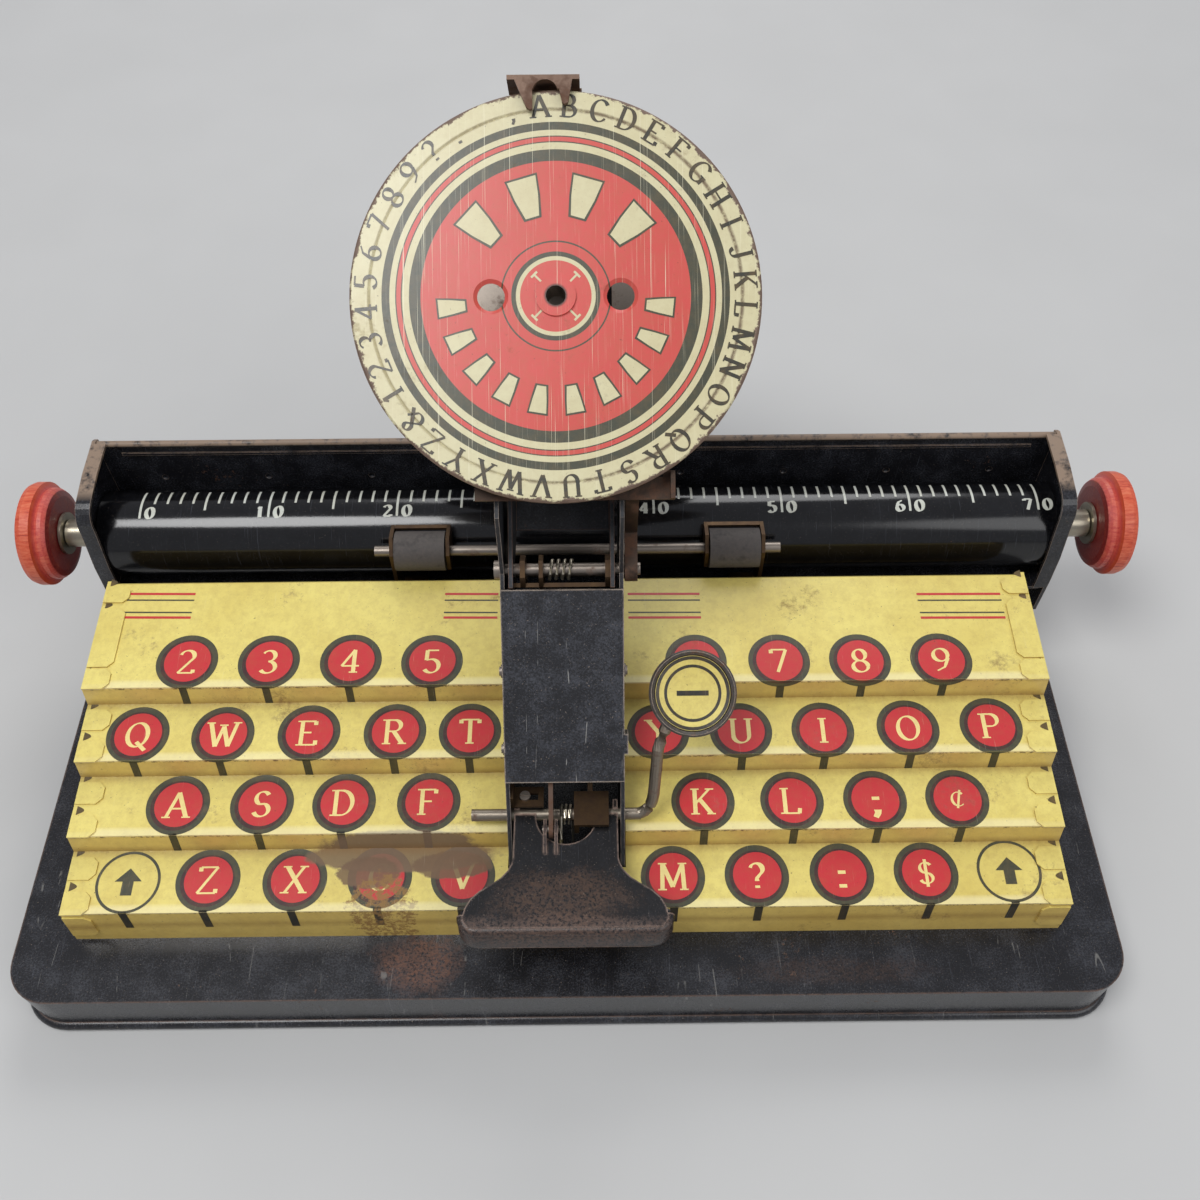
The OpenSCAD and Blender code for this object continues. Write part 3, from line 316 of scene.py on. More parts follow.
def litho(name, colour, panel_shading=False, amount=1.0, spots=True):
    """Printed tinplate; on the panel: painted highlights on the noses, painted shade under them and on the
    risers, most at their foot.
    """
    n = Nodes(name)
    col = colour
    x = n.xyz()
    fine = n.noise(1.1, 6, 0.78)
    if panel_shading:
        # painted shade: faces that turn away from up, the risers, go tan
        riser = n.ramp(n.normal((0, 0, 1)), 0.85, 0.4)
        col = n.mix(n.mul(riser, 0.62), col, RISER_SHADE)
    col, blot = tin_wear(n, col, amount, spots)
    if panel_shading:
        for i in range(4):
            y0, z0 = nose_line(i)
            dy = n.math("DIVIDE", n.minus(x[1], (y0 + 0.5) * MM), 1.6 * MM)
            dz = n.math("DIVIDE", n.minus(x[2], z0 * MM), 0.5 * MM)
            d = n.plus(n.mul(dy, dy), n.mul(dz, dz))
            # painted highlight along each nose
            col = n.mix(n.mul(n.ramp(d, 1.5, 0.2), 0.4), col, srgb(246, 238, 198))
            # broken line of painted shade just under the nose
            low = n.gap(x[2], (z0 - 0.55) * MM)
            here = n.math("LESS_THAN", n.gap(x[1], (y0 - 0.1) * MM), 0.9 * MM)
            line = n.mul(n.mul(n.ramp(low, 0.42 * MM, 0.15 * MM), here),
                          n.mul(n.ramp(fine, 0.50, 0.56), n.ramp(n.noise(9, 3), 0.34, 0.5)))
            col = n.mix(n.mul(line, 0.85), col, srgb(92, 70, 48))
            # painted shade in the crease at the foot of the riser, mottled
            fz = n.gap(x[2], (z0 - RISER_H) * MM)
            fy = n.gap(x[1], (y0 - RISER_RUN) * MM)
            foot_shade = n.mul(n.ramp(fy, 2.4 * MM, 0.1 * MM), n.ramp(fz, 2.2 * MM, 0.1 * MM))
            col = n.mix(n.mul(foot_shade, n.plus(0.15, n.mul(fine, 0.75))), col, srgb(128, 92, 48))
    n.bump(n.plus(n.mul(n.noise(0.8, 4), 0.5), n.mul(blot, -1.0)), 0.28, 0.08)
    return n.finish(col, n.plus(0.3, n.mul(blot, 0.4)))


def dial_face_material():
    """Concentric bands by distance from the dial's axis, worn at the rim and along the pressed groove."""
    n = Nodes("dial_print")
    tilt = n.add("ShaderNodeMapping", {"Vector": n.coord, "Rotation": (-DIAL_TILT, 0, 0)},
                 vector_type="POINT")
    x = n.xyz(tilt)
    centre_v = dial_point(0, 0, 0)
    centre_v.rotate(Euler((-DIAL_TILT, 0, 0)))
    du = n.minus(x[1], centre_v.y)
    r = n.hypot(x[0], du)
    # inner radius and colour of each band, from the middle outwards
    bands = [(7.7, CREAM), (8.6, OLIVE), (9.6, DIAL_RED), (11.6, OLIVE), (11.95, DIAL_RED), (29.1, OLIVE),
             (31.6, CREAM), (33.1, OLIVE), (33.35, DIAL_RED), (34.3, OLIVE), (34.55, CREAM), (35.8, OLIVE),
             (37.5, CREAM)]
    col = DIAL_RED
    for edge_r, c in bands:
        col = n.mix(n.math("GREATER_THAN", r, edge_r * MM), col, c)
    col, blot = tin_wear(n, col, 0.75, spots=False)
    long = n.mul(scratches(n, 0.06, 0.2, 45, 0.625), 0.8)
    col = n.mix(long, col, srgb(226, 220, 190))
    fine = n.noise(1.5, 6, 0.8)
    wander = n.mul(n.minus(n.noise(16, 3), 0.5), 60 * MM)
    side = n.ramp(n.plus(x[0], wander), -14 * MM, 12 * MM)
    groove = n.mul(n.ramp(n.gap(r, GROOVE_R * MM), 0.62 * MM, 0.15 * MM),
                   n.mul(n.ramp(fine, 0.36, 0.52), n.plus(0.35, n.mul(side, 0.65))))
    ragged = n.plus(n.mul(n.minus(fine, 0.5), 3.4 * MM),
                    n.mul(n.minus(n.noise(7, 4), 0.5), 3.6 * MM))
    rim = n.ramp(n.plus(r, ragged), (RIM_R - 0.15) * MM, (RIM_R + 0.15) * MM)
    rust = n.mix(n.noise(1.6, 5, 0.75), srgb(134, 112, 94), srgb(78, 58, 50))
    col = n.mix(n.mul(groove, 0.8), col, rust)
    col = n.mix(rim, col, rust)
    # painted shade: the dark rust colour darkens the face into the centre hole
    col = n.mix(n.ramp(r, 2.7 * MM, 2.2 * MM), col, DARK_RUST)
    back = n.mix(n.ramp(n.noise(3, 6, 0.75), 0.4, 0.62), srgb(104, 98, 90), rust)
    face = n.math("GREATER_THAN", n.normal((0, -math.sin(DIAL_TILT), math.cos(DIAL_TILT))), -0.3)
    col = n.mix(face, back, col)
    n.bump(n.plus(fine, n.mul(blot, -0.6)), 0.25, 0.08)
    return n.finish(col, n.plus(0.32, n.mul(n.plus(blot, rim), 0.3)))


# ---------------------------------------------------------------- places
def dial_point(x, u, w):
    """A point of the dial's face: x across, u up the slope from the dial's axis, w out of the face (mm)."""
    uu, ww = DIAL_U + u, DIAL_FACE + w
    c, s = math.cos(DIAL_TILT), math.sin(DIAL_TILT)
    return Vector((x, PIVOT[0] + uu * c - ww * s, PIVOT[1] + uu * s + ww * c)) * MM


def key_point(x, u, w):
    c, s = math.cos(KEY_TILT), math.sin(KEY_TILT)
    return Vector((KEY_CENTRE[0] + x, KEY_CENTRE[1] + u * c - w * s, KEY_CENTRE[2] + u * s + w * c)) * MM


def tread_point(i):
    """A map from (x, distance up the tread from its nose) to the tread's surface."""
    y0, z0 = nose_line(i)
    slope = math.atan2(TREAD_RISE, STEP_PITCH - RISER_RUN) if i < 3 else TOP_SLOPE
    return lambda x, v, w=0.0: Vector((x, y0 + v * math.cos(slope) - w * math.sin(slope),
                                       z0 + v * math.sin(slope) + (LIFT + w) * math.cos(slope))) * MM


def riser_height(i):
    return RISER_H if i else nose_line(0)[1] - DECK_Z


def riser_point(i):
    y0, z0 = nose_line(i)
    h = riser_height(i)
    lean = math.atan2(RISER_RUN, h)
    return lambda x, v, w=0.0: Vector((x, y0 - RISER_RUN + v * math.sin(lean) - (LIFT + w) * math.cos(lean),
                                       z0 - h + v * math.cos(lean) + (LIFT + w) * math.sin(lean))) * MM


def raised(place, w):
    """The same surface, a little higher, so that one print lies over another."""
    up = lambda a, b, more=0.0: place(a, b, w + more)
    up.folded = getattr(place, "folded", False)
    return up


def stair_point(i):
    """Like tread_point, but below the nose it goes on down the riser."""
    tread, riser = tread_point(i), riser_point(i)
    length = math.hypot(riser_height(i), RISER_RUN)
    place = lambda x, v, w=0.0: tread(x, v, w) if v >= 0 else riser(x, length + v, w)
    place.folded = True
    return place


def platen_point(x, a, lift=LIFT):
    """A point of the platen: a is the angle in degrees over the top from the horizontal front."""
    t = math.radians(a)
    r = PLATEN_R + lift
    return Vector((x, PLATEN[0] - r * math.cos(t), PLATEN[1] + r * math.sin(t))) * MM


# ---------------------------------------------------------------- mesh helpers
def piece(name, verts, faces, mat, body):
    mesh = bpy.data.meshes.new(name)
    mesh.from_pydata([tuple(v) for v in verts], [], faces)
    mesh.update()
    o = bpy.data.objects.new(name, mesh)
    bpy.context.scene.collection.objects.link(o)
    mesh.materials.append(mat)
    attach(o, body)
    return o


def part_of(pts, sign):
    """The part of a polygon with v above (sign 1) or below (sign -1) the fold at v = 0."""
    out = []
    for a, b in zip(pts, pts[1:] + pts[:1]):
        if sign * a[1] >= 0:
            out.append(a)
        if a[1] * b[1] < 0:
            t = a[1] / (a[1] - b[1])
            out.append((a[0] + (b[0] - a[0]) * t, 1e-9 * sign))
    return out


class Sheet:
    """Collects flat faces in two coordinates and maps them onto a surface."""

    def __init__(self):
        self.v, self.f = [], []

    def poly(self, pts, place):
        parts = [part_of(pts, 1), part_of(pts, -1)] if getattr(place, "folded", False) else [pts]
        for part in parts:
            if len(part) > 2:
                k = len(self.v)
                self.v += [place(*p) for p in part]
                self.f.append(list(range(k, k + len(part))))

    def ring(self, cx, cy, r0, r1, place, n=48):
        rim = lambda r: [(cx + r * math.cos(2 * math.pi * i / n), cy + r * math.sin(2 * math.pi * i / n))
                         for i in range(n)]
        outer = rim(r1)
        if r0 <= 0:
            self.poly(outer, place)
            return
        inner = rim(r0)
        for i in range(n):
            j = (i + 1) % n
            self.poly([inner[i], outer[i], outer[j], inner[j]], place)

    def make(self, name, mat, body):
        return piece(name, self.v, self.f, mat, body)


# ---------------------------------------------------------------- letters, as pen strokes in a box 1 high
def arc(cx, cy, rx, ry, a0, a1, n=14):
    return [(cx + rx * math.cos(math.radians(a0 + (a1 - a0) * i / n)),
             cy + ry * math.sin(math.radians(a0 + (a1 - a0) * i / n)))
            for i in range(n + 1)]


THICK, THIN, SERIF = 0.165, 0.06, 0.14
LAYER = 0.004  # mm between the strokes of a letter
# each letter: its strokes, then the stroke ends that carry a flat serif
GLYPHS = {
    "A": ([[(0.05, 0), (0.36, 1)], [(0.36, 1), (0.70, 0)], [(0.16, 0.35), (0.58, 0.35)]],
          [(0.05, 0), (0.70, 0)]),
    "B": ([[(0.14, 0), (0.14, 1)],
           [(0.14, 1), (0.34, 1)] + arc(0.34, 0.76, 0.2, 0.24, 90, -90) + [(0.14, 0.52)],
           [(0.34, 0.52)] + arc(0.36, 0.26, 0.25, 0.26, 90, -90) + [(0.14, 0)]], [(0.12, 0), (0.12, 1)]),
    "C": ([arc(0.40, 0.5, 0.33, 0.5, 38, 322, 26)], []),
    "D": ([[(0.14, 0), (0.14, 1)],
           [(0.14, 1), (0.32, 1)] + arc(0.32, 0.5, 0.36, 0.5, 90, -90, 18) + [(0.14, 0)]],
          [(0.12, 0), (0.12, 1)]),
    "E": ([[(0.14, 0), (0.14, 1)], [(0.14, 1), (0.58, 1), (0.58, 0.84)], [(0.14, 0.52), (0.46, 0.52)],
           [(0.14, 0), (0.62, 0), (0.62, 0.18)]],
          [(0.12, 0), (0.12, 1)]),
    "F": ([[(0.14, 0), (0.14, 1)], [(0.14, 1), (0.58, 1), (0.58, 0.84)], [(0.14, 0.52), (0.46, 0.52)]],
          [(0.14, 0), (0.12, 1)]),
    "G": ([arc(0.40, 0.5, 0.33, 0.5, 40, 330, 26), [(0.68, 0.05), (0.68, 0.42)]], [(0.66, 0.42)]),
    "H": ([[(0.12, 0), (0.12, 1)], [(0.64, 0), (0.64, 1)], [(0.12, 0.52), (0.64, 0.52)]],
          [(0.12, 0), (0.12, 1), (0.64, 0), (0.64, 1)]),
    "I": ([[(0.25, 0), (0.25, 1)]], [(0.25, 0), (0.25, 1)]),
    "J": ([[(0.42, 1), (0.42, 0.25)] + arc(0.25, 0.22, 0.17, 0.22, 0, -170, 10)], [(0.42, 1)]),
    "K": ([[(0.14, 0), (0.14, 1)], [(0.62, 1), (0.16, 0.42)], [(0.30, 0.58), (0.66, 0)]],
          [(0.14, 0), (0.14, 1), (0.62, 1), (0.66, 0)]),
    "L": ([[(0.14, 0), (0.14, 1)], [(0.14, 0), (0.60, 0)], [(0.585, 0), (0.61, 0.2)]],
          [(0.14, 1), (0.12, 0)]),
    "M": ([[(0.10, 0), (0.12, 1)], [(0.12, 1), (0.44, 0.1)], [(0.44, 0.1), (0.76, 1)],
           [(0.76, 1), (0.80, 0)]],
          [(0.10, 0), (0.12, 1), (0.76, 1), (0.80, 0)]),
    "N": ([[(0.12, 0), (0.12, 1)], [(0.12, 1), (0.64, 0)], [(0.64, 0), (0.64, 1)]],
          [(0.12, 0), (0.10, 1), (0.64, 1)]),
    "O": ([arc(0.40, 0.5, 0.33, 0.5, 0, 360, 30)], []),
    "P": ([[(0.14, 0), (0.14, 1)],
           [(0.14, 1), (0.36, 1)] + arc(0.36, 0.74, 0.23, 0.26, 90, -90) + [(0.14, 0.48)]],
          [(0.14, 0), (0.12, 1)]),
    "Q": ([arc(0.40, 0.5, 0.33, 0.5, 0, 360, 30), [(0.40, 0.20), (0.72, -0.16)]], []),
    "R": ([[(0.14, 0), (0.14, 1)],
           [(0.14, 1), (0.36, 1)] + arc(0.36, 0.76, 0.22, 0.24, 90, -90) + [(0.14, 0.52)],
           [(0.36, 0.52), (0.66, 0)]],
          [(0.14, 0), (0.12, 1), (0.66, 0)]),
    "S": ([arc(0.34, 0.74, 0.21, 0.26, 30, 250, 16) + arc(0.33, 0.26, 0.24, 0.26, 70, -160, 16)], []),
    "T": ([[(0.36, 0), (0.36, 1)], [(0.06, 0.84), (0.06, 1), (0.66, 1), (0.66, 0.84)]], [(0.36, 0)]),
    "U": ([[(0.12, 1), (0.12, 0.3)] + arc(0.38, 0.3, 0.26, 0.3, 180, 360, 14) + [(0.64, 1)]],
          [(0.12, 1), (0.64, 1)]),
    "V": ([[(0.04, 1), (0.36, 0)], [(0.36, 0), (0.68, 1)]], [(0.04, 1), (0.68, 1)]),
    "W": ([[(0.02, 1), (0.26, 0)], [(0.26, 0), (0.46, 0.85)], [(0.46, 0.85), (0.68, 0)],
           [(0.68, 0), (0.90, 1)]],
          [(0.02, 1), (0.46, 0.9), (0.90, 1)]),
    "X": ([[(0.08, 1), (0.64, 0)], [(0.62, 1), (0.06, 0)]], [(0.08, 1), (0.64, 0), (0.62, 1), (0.06, 0)]),
    "Y": ([[(0.04, 1), (0.36, 0.5)], [(0.68, 1), (0.36, 0.5)], [(0.36, 0.5), (0.36, 0)]],
          [(0.04, 1), (0.68, 1), (0.36, 0)]),
    "Z": ([[(0.08, 0.84), (0.08, 1), (0.62, 1)], [(0.62, 1), (0.06, 0)],
           [(0.06, 0), (0.64, 0), (0.64, 0.16)]], []),
    "0": ([arc(0.33, 0.5, 0.26, 0.5, 0, 360, 26)], []),
    "1": ([[(0.12, 0.8), (0.28, 1), (0.28, 0)]], [(0.28, 0)]),
    "2": ([arc(0.32, 0.74, 0.23, 0.26, 165, -20, 14) + [(0.08, 0)], [(0.08, 0), (0.58, 0), (0.58, 0.14)]],
          []),
    "3": ([arc(0.30, 0.76, 0.21, 0.24, 150, -90, 14) + arc(0.30, 0.26, 0.25, 0.26, 90, -150, 14)], []),
    "4": ([[(0.44, 0), (0.44, 1), (0.04, 0.28), (0.62, 0.28)]], [(0.44, 0)]),
    "5": ([[(0.54, 1), (0.16, 1), (0.14, 0.56)] + arc(0.31, 0.3, 0.25, 0.3, 110, -150, 16)], []),
    "6": ([[(0.50, 0.98), (0.24, 0.82), (0.09, 0.42)] + arc(0.33, 0.28, 0.24, 0.28, 150, -210, 22)], []),
    "7": ([[(0.08, 0.84), (0.08, 1), (0.58, 1), (0.26, 0)]], []),
    "8": ([arc(0.32, 0.75, 0.20, 0.25, 0, 360, 20), arc(0.32, 0.25, 0.25, 0.25, 0, 360, 20)], []),
    "9": ([[(0.14, 0.02), (0.40, 0.18), (0.56, 0.58)] + arc(0.32, 0.72, 0.24, 0.28, -30, 330, 22)], []),
    "&": ([[(0.74, 0.02), (0.20, 0.70)] + arc(0.34, 0.82, 0.15, 0.18, 200, -20, 10) + [(0.12, 0.40)]
           + arc(0.30, 0.24, 0.24, 0.24, 140, 300, 12) + [(0.68, 0.46)]], []),
    "?": ([arc(0.30, 0.76, 0.21, 0.24, 165, -50, 12) + [(0.30, 0.40), (0.30, 0.28)],
           [(0.30, 0.10), (0.30, 0.0)]], []),
    ".": ([[(0.26, 0.12), (0.26, 0.0)]], []),
    ",": ([[(0.28, 0.12), (0.28, 0.0), (0.20, -0.14)]], []),
    ":": ([[(0.26, 0.62), (0.26, 0.50)], [(0.26, 0.14), (0.26, 0.02)]], []),
    ";": ([[(0.26, 0.62), (0.26, 0.50)], [(0.28, 0.14), (0.28, 0.02), (0.20, -0.14)]], []),
    "$": ([arc(0.34, 0.72, 0.20, 0.22, 30, 250, 16) + arc(0.33, 0.28, 0.22, 0.22, 70, -160, 16),
           [(0.34, -0.08), (0.34, 1.08)]], []),
    "c": ([arc(0.38, 0.5, 0.28, 0.38, 45, 315, 20), [(0.30, 0.0), (0.50, 1.0)]], []),
    " ": ([], []),
}


def glyph_width(ch):
    xs = [p[0] for s in GLYPHS[ch][0] for p in s] or [0.0, 0.4]
    return min(xs), max(xs)


def pen(sheet, pts, place, height, weight, layer=0):
    """One stroke of a broad pen: upright strokes are thick, level ones thin."""
    k = len(sheet.v)
    for i, p in enumerate(pts):
        a, b = pts[max(i - 1, 0)], pts[min(i + 1, len(pts) - 1)]
        dx, dy = b[0] - a[0], b[1] - a[1]
        d = math.hypot(dx, dy) or 1.0
        ang = math.atan2(dy, dx) - math.radians(22)
        w = 0.5 * (THIN + (THICK - THIN) * math.sin(ang) ** 2) * weight
        nx, ny = -dy / d * w, dx / d * w
        sheet.v += [place((p[0] + s * nx) * height, (p[1] + s * ny) * height, layer * LAYER) for s in (1, -1)]
    sheet.f += [[k + 2 * i, k + 2 * i + 1, k + 2 * i + 3, k + 2 * i + 2] for i in range(len(pts) - 1)]


def densify(pts, step=0.12):
    out = [pts[0]]
    for a, b in zip(pts, pts[1:]):
        n = max(1, int(math.hypot(b[0] - a[0], b[1] - a[1]) / step))
        out += [(a[0] + (b[0] - a[0]) * i / n, a[1] + (b[1] - a[1]) * i / n) for i in range(1, n + 1)]
    return out


def letter(sheet, ch, cx, cy, height, place, weight=1.0, serifs=True, squeeze=1.0):
    """Draws a letter centred on (cx, cy) of the surface that place maps."""
    lo, hi = glyph_width(ch)
    here = lambda u, v, w=0.0: place(cx + (u - 0.5 * (lo + hi) * height) * squeeze, cy + v - 0.5 * height, w)
    strokes, ends = GLYPHS[ch]
    layer = 0
    for s in strokes:
        # a sharp corner starts a new stroke, so the pen keeps its width there
        part = [s[0]]
        for i in range(1, len(s)):
            part.append(s[i])
            if i + 1 < len(s):
                a = math.atan2(s[i][1] - s[i - 1][1], s[i][0] - s[i - 1][0])
                b = math.atan2(s[i + 1][1] - s[i][1], s[i + 1][0] - s[i][0])
                if abs((b - a + math.pi) % (2 * math.pi) - math.pi) > 0.7:
                    pen(sheet, densify(part), here, height, weight, layer)
                    part = [s[i]]
                    layer += 1
        pen(sheet, densify(part), here, height, weight, layer)
        layer += 1
    if serifs:
        t = THIN * 0.5 * weight
        for x, y in ends:
            layer += 1
            box = [(x - SERIF, y - t), (x + SERIF, y - t), (x + SERIF, y + t), (x - SERIF, y + t)]
            sheet.poly([(a * height, b * height) for a, b in box], lambda u, v,
                       w=layer * LAYER: here(u, v, w))


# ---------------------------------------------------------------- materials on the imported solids
YELLOW_TIN = litho("yellow_tin", YELLOW, panel_shading=True, amount=1.25)
MATERIALS = {
    "japan_base": (japanned("japan_base", BLACK, srgb(98, 74, 60), 0.15, 0.24, 0.4, 0.3, size=0.9, hair=0.3,
                            patches=(((-37, 9), (10, 7), ORANGE_RUST, 0.6), ((66, 6), (22, 3), RUST, 0.2))),
                   ["base_pan"]),
    "japan_column": (japanned("japan_column", srgb(28, 28, 31), PALE_METAL, 0.0, 0.38, 0.5, 0.45, size=0.7,
                              hair=0.7), ["column_cover"]),
    "japan_side": (japanned("japan_side", BLACK, PALE_METAL, 0.1, 0.4, 0.3, size=0.3),
                   ["column_side_left", "column_side_right"]),
    "japan_carriage": (japanned("japan_carriage", BLACK, srgb(142, 122, 106), 0.15, 0.22, 0.2, 0.28,
                                size=0.35, top=70.4),
                       ["carriage_tray", "end_plate_left", "end_plate_right", "guide_rail", "guide_shoes"]),
    "japan_head": (japanned("japan_head", BLACK, srgb(128, 92, 70), 0.4, 0.42, 0.3, size=0.3),
                   ["head_frame"]),
    "japan_lever": (japanned("japan_lever", srgb(20, 19, 20), srgb(150, 126, 112), 0.1, 0.24, 0.4, 0.08,
                             size=0.9,
                             patches=(((0, 15), (15, 7), srgb(120, 84, 56), 0.5),
                                      ((0, 8), (30, 3.0), srgb(116, 90, 76), 0.65))),
                    ["print_lever"]),
    "japan_platen": (japanned("japan_platen", srgb(9, 9, 11), None, 0.0, 0.13, 0.12, 0.05),
                     ["platen_tube", "platen_caps"]),
    "yellow_tin": (YELLOW_TIN, ["keyboard_panel", "cheek_left", "cheek_right"]),
    "key_tin": (litho("key_tin", YELLOW, amount=1.6, spots=False), ["space_key_face"]),
    "dark_rim": (japanned("dark_rim", srgb(62, 56, 50), PALE_METAL, 0.7, 0.4, 0.6, 0.5, size=0.4),
                 ["space_key_cup"]),
    "steel": (bare_steel("steel", STEEL, 0.35),
              ["pivot_shaft", "spring_post", "rail_screws", "rack", "platen_spindle", "dial_shaft",
               "link_pin_head", "link_pin_lever", "stop_screw", "type_wheel", "feed_shaft", "column_rivets"]),
    "bright_wire": (bare_steel("bright_wire", srgb(176, 168, 150), 0.15, 0.3),
                    ["head_spring", "space_spring", "knob_washers"]),
    "rod_steel": (bare_steel("rod_steel", srgb(148, 138, 124), 0.5, 0.42), ["space_rod"]),
    "brown_steel": (bare_steel("brown_steel", srgb(112, 92, 80), 0.9, 0.45), ["pull_bar", "pointer_fork"]),
    "dark_spring": (bare_steel("dark_spring", srgb(74, 62, 54), 0.8, 0.5), ["index_spring"]),
    "lacquer": (lacquer("lacquer"),
                ["head_cradle", "roller_brackets", "feed_arm", "stop_bracket", "dial_bush"]),
    "rubber": (rubber("rubber"), ["feed_roller_left", "feed_roller_right", "type_ring"]),
    "wood": (turned_wood("wood"), ["knob_left", "knob_right"]),
    "dial_print": (dial_face_material(), ["dial_disc", "dial_eyelet"]),
}
for mat, nodes in MATERIALS.values():
    for name in nodes:
        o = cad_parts[name]
        o.data.materials.clear()
        o.data.materials.append(mat)

INK_OLIVE = litho("ink_olive", OLIVE, amount=0.8)
# dark colour of the tab seams and notches, partly dirt and partly painted shade
INK_DIRT_AND_SHADE = litho("ink_dirt_and_shade", srgb(84, 72, 46), amount=1.4)
INK_SHADE = litho("ink_shade", srgb(66, 44, 44), amount=0.7)
INK_RED = litho("ink_red", RED, amount=0.7)
INK_CREAM = litho("ink_cream", CREAM, amount=0.7)
INK_LETTER = litho("ink_letter", srgb(238, 218, 146), amount=0.7)
INK_WHITE = litho("ink_white", srgb(198, 202, 194), amount=0.8)
INK_BLACK = litho("ink_black", INK_DARK, amount=0.8)
INK_GREY = litho("ink_grey", srgb(60, 60, 53), amount=1.3, spots=False)

# ---------------------------------------------------------------- printed keys
KEY_R, KEY_INK_R, KEY_DISC_R = 8.05, 6.75, 6.05
GLYPH_H = 6.7
LETTER_WEIGHT = {";": 1.5, ":": 1.5, "$": 0.75, "c": 0.75, "?": 1.1}
LETTER_SCALE = {"$": 0.92, "c": 0.74, "?": 0.95, ";": 1.1, ":": 1.1}
STEM_HALF = 1.0
# tread: characters, then x and distance up the tread of each, mm
ROWS = {
    3: ("23456789", [(-99.0, 7.5), (-77.6, 7.2), (-56.2, 7.2), (-35.0, 6.8), (33.9, 6.1), (55.6, 5.9),
                     (76.7, 5.7), (97.9, 5.7)]),
    2: ("QWERTYUIOP",
        [(-110.2, 7.2), (-88.3, 7.0), (-66.2, 7.2), (-44.1, 7.3), (-24.8, 7.2), (23.6, 6.4), (44.9, 6.5),
         (66.0, 6.4),
                       (88.0, 6.8), (109.5, 7.2)]),
    1: ("ASDFKL;c", [(-98.6, 8.1), (-77.3, 8.1), (-56.5, 8.2), (-35.0, 8.2), (34.6, 7.5), (57.2, 7.4),
                     (78.3, 7.4), (99.2, 7.4)]),
    0: ("ZXCVM?:$", [(-89.7, 8.2), (-68.0, 8.1), (-46.8, 8.5), (-26.0, 8.6), (26.5, 7.8), (47.5, 7.8),
                     (68.8, 8.0), (89.9, 8.0)]),
}
BLANK_KEYS = [(-109.6, 7.9), (110.8, 8.3)]
THIN_RING = 0.7
ARROW = [(0, 3.6), (-3.4, 0.2), (-1.4, 0.2), (-1.4, -3.4), (1.4, -3.4), (1.4, 0.2), (3.4, 0.2)]
ring, shade, disc, cream, stems = Sheet(), Sheet(), Sheet(), Sheet(), Sheet()


def stem(x, v, tread, radius):
    """The short printed key lever under a key: down over the nose to the foot of the riser."""
    place = stair_point(tread)
    length = math.hypot(RISER_H, RISER_RUN) if tread else 7.5
    top = v - radius + 0.4
    stems.poly([(x - STEM_HALF, -length), (x + STEM_HALF, -length), (x + STEM_HALF, top),
                (x - STEM_HALF, top)], place)


for tread, (chars, spots) in ROWS.items():
    place = stair_point(tread)
    for ch, (x, v) in zip(chars, spots):
        ring.ring(x, v, KEY_INK_R - 0.4, KEY_R, place)
        shade.ring(x - 0.15, v - 0.15, 0, KEY_INK_R, raised(place, 0.01))
        disc.ring(x + 0.1, v + 0.1, 0, KEY_DISC_R, raised(place, 0.025))
        letter(cream, ch, x, v, GLYPH_H * LETTER_SCALE.get(ch, 1.0), raised(place, 0.04),
               LETTER_WEIGHT.get(ch, 0.92), squeeze=1.16)
        stem(x, v, tread, KEY_R)
# two shift keys: a thin ring and an arrow in place of words
for x, v in BLANK_KEYS:
    place = stair_point(0)
    ring.ring(x, v, KEY_R - THIN_RING, KEY_R, place)
    ring.poly([(x + dx, v + dv) for dx, dv in ARROW], place)
    stem(x, v, 0, KEY_R)
shade.make("key_shadows", INK_SHADE, "base")
ring.make("key_rings", INK_OLIVE, "base")
disc.make("key_discs", INK_RED, "base")
cream.make("key_letters", INK_LETTER, "base")
stems.make("key_stems", INK_BLACK, "base")

# ---------------------------------------------------------------- header pinstripes
stripe_red, stripe_dark, dirt_and_shade = Sheet(), Sheet(), Sheet()
place = tread_point(3)
# x from, x to, height of the uppermost stripe at each end
STRIPES = ((-120.0, -100.4, 28.9, 28.6), (-32.8, -18.4, 27.8, 27.6), (16.6, 36.0, 27.2, 27.0),
           (94.6, 117.2, 26.2, 26.0))
BROAD, NARROW = 0.36, 0.22  # half widths
LINES = ((0, BROAD, stripe_red), (2.0, NARROW, stripe_dark), (5.9, NARROW, stripe_dark),
         (7.5, BROAD, stripe_red))
for x0, x1, v0, v1 in STRIPES:
    for drop, half, sheet in LINES:
        sheet.poly([(x0, v0 - drop - half), (x1, v1 - drop - half), (x1, v1 - drop + half),
                    (x0, v0 - drop + half)], place)

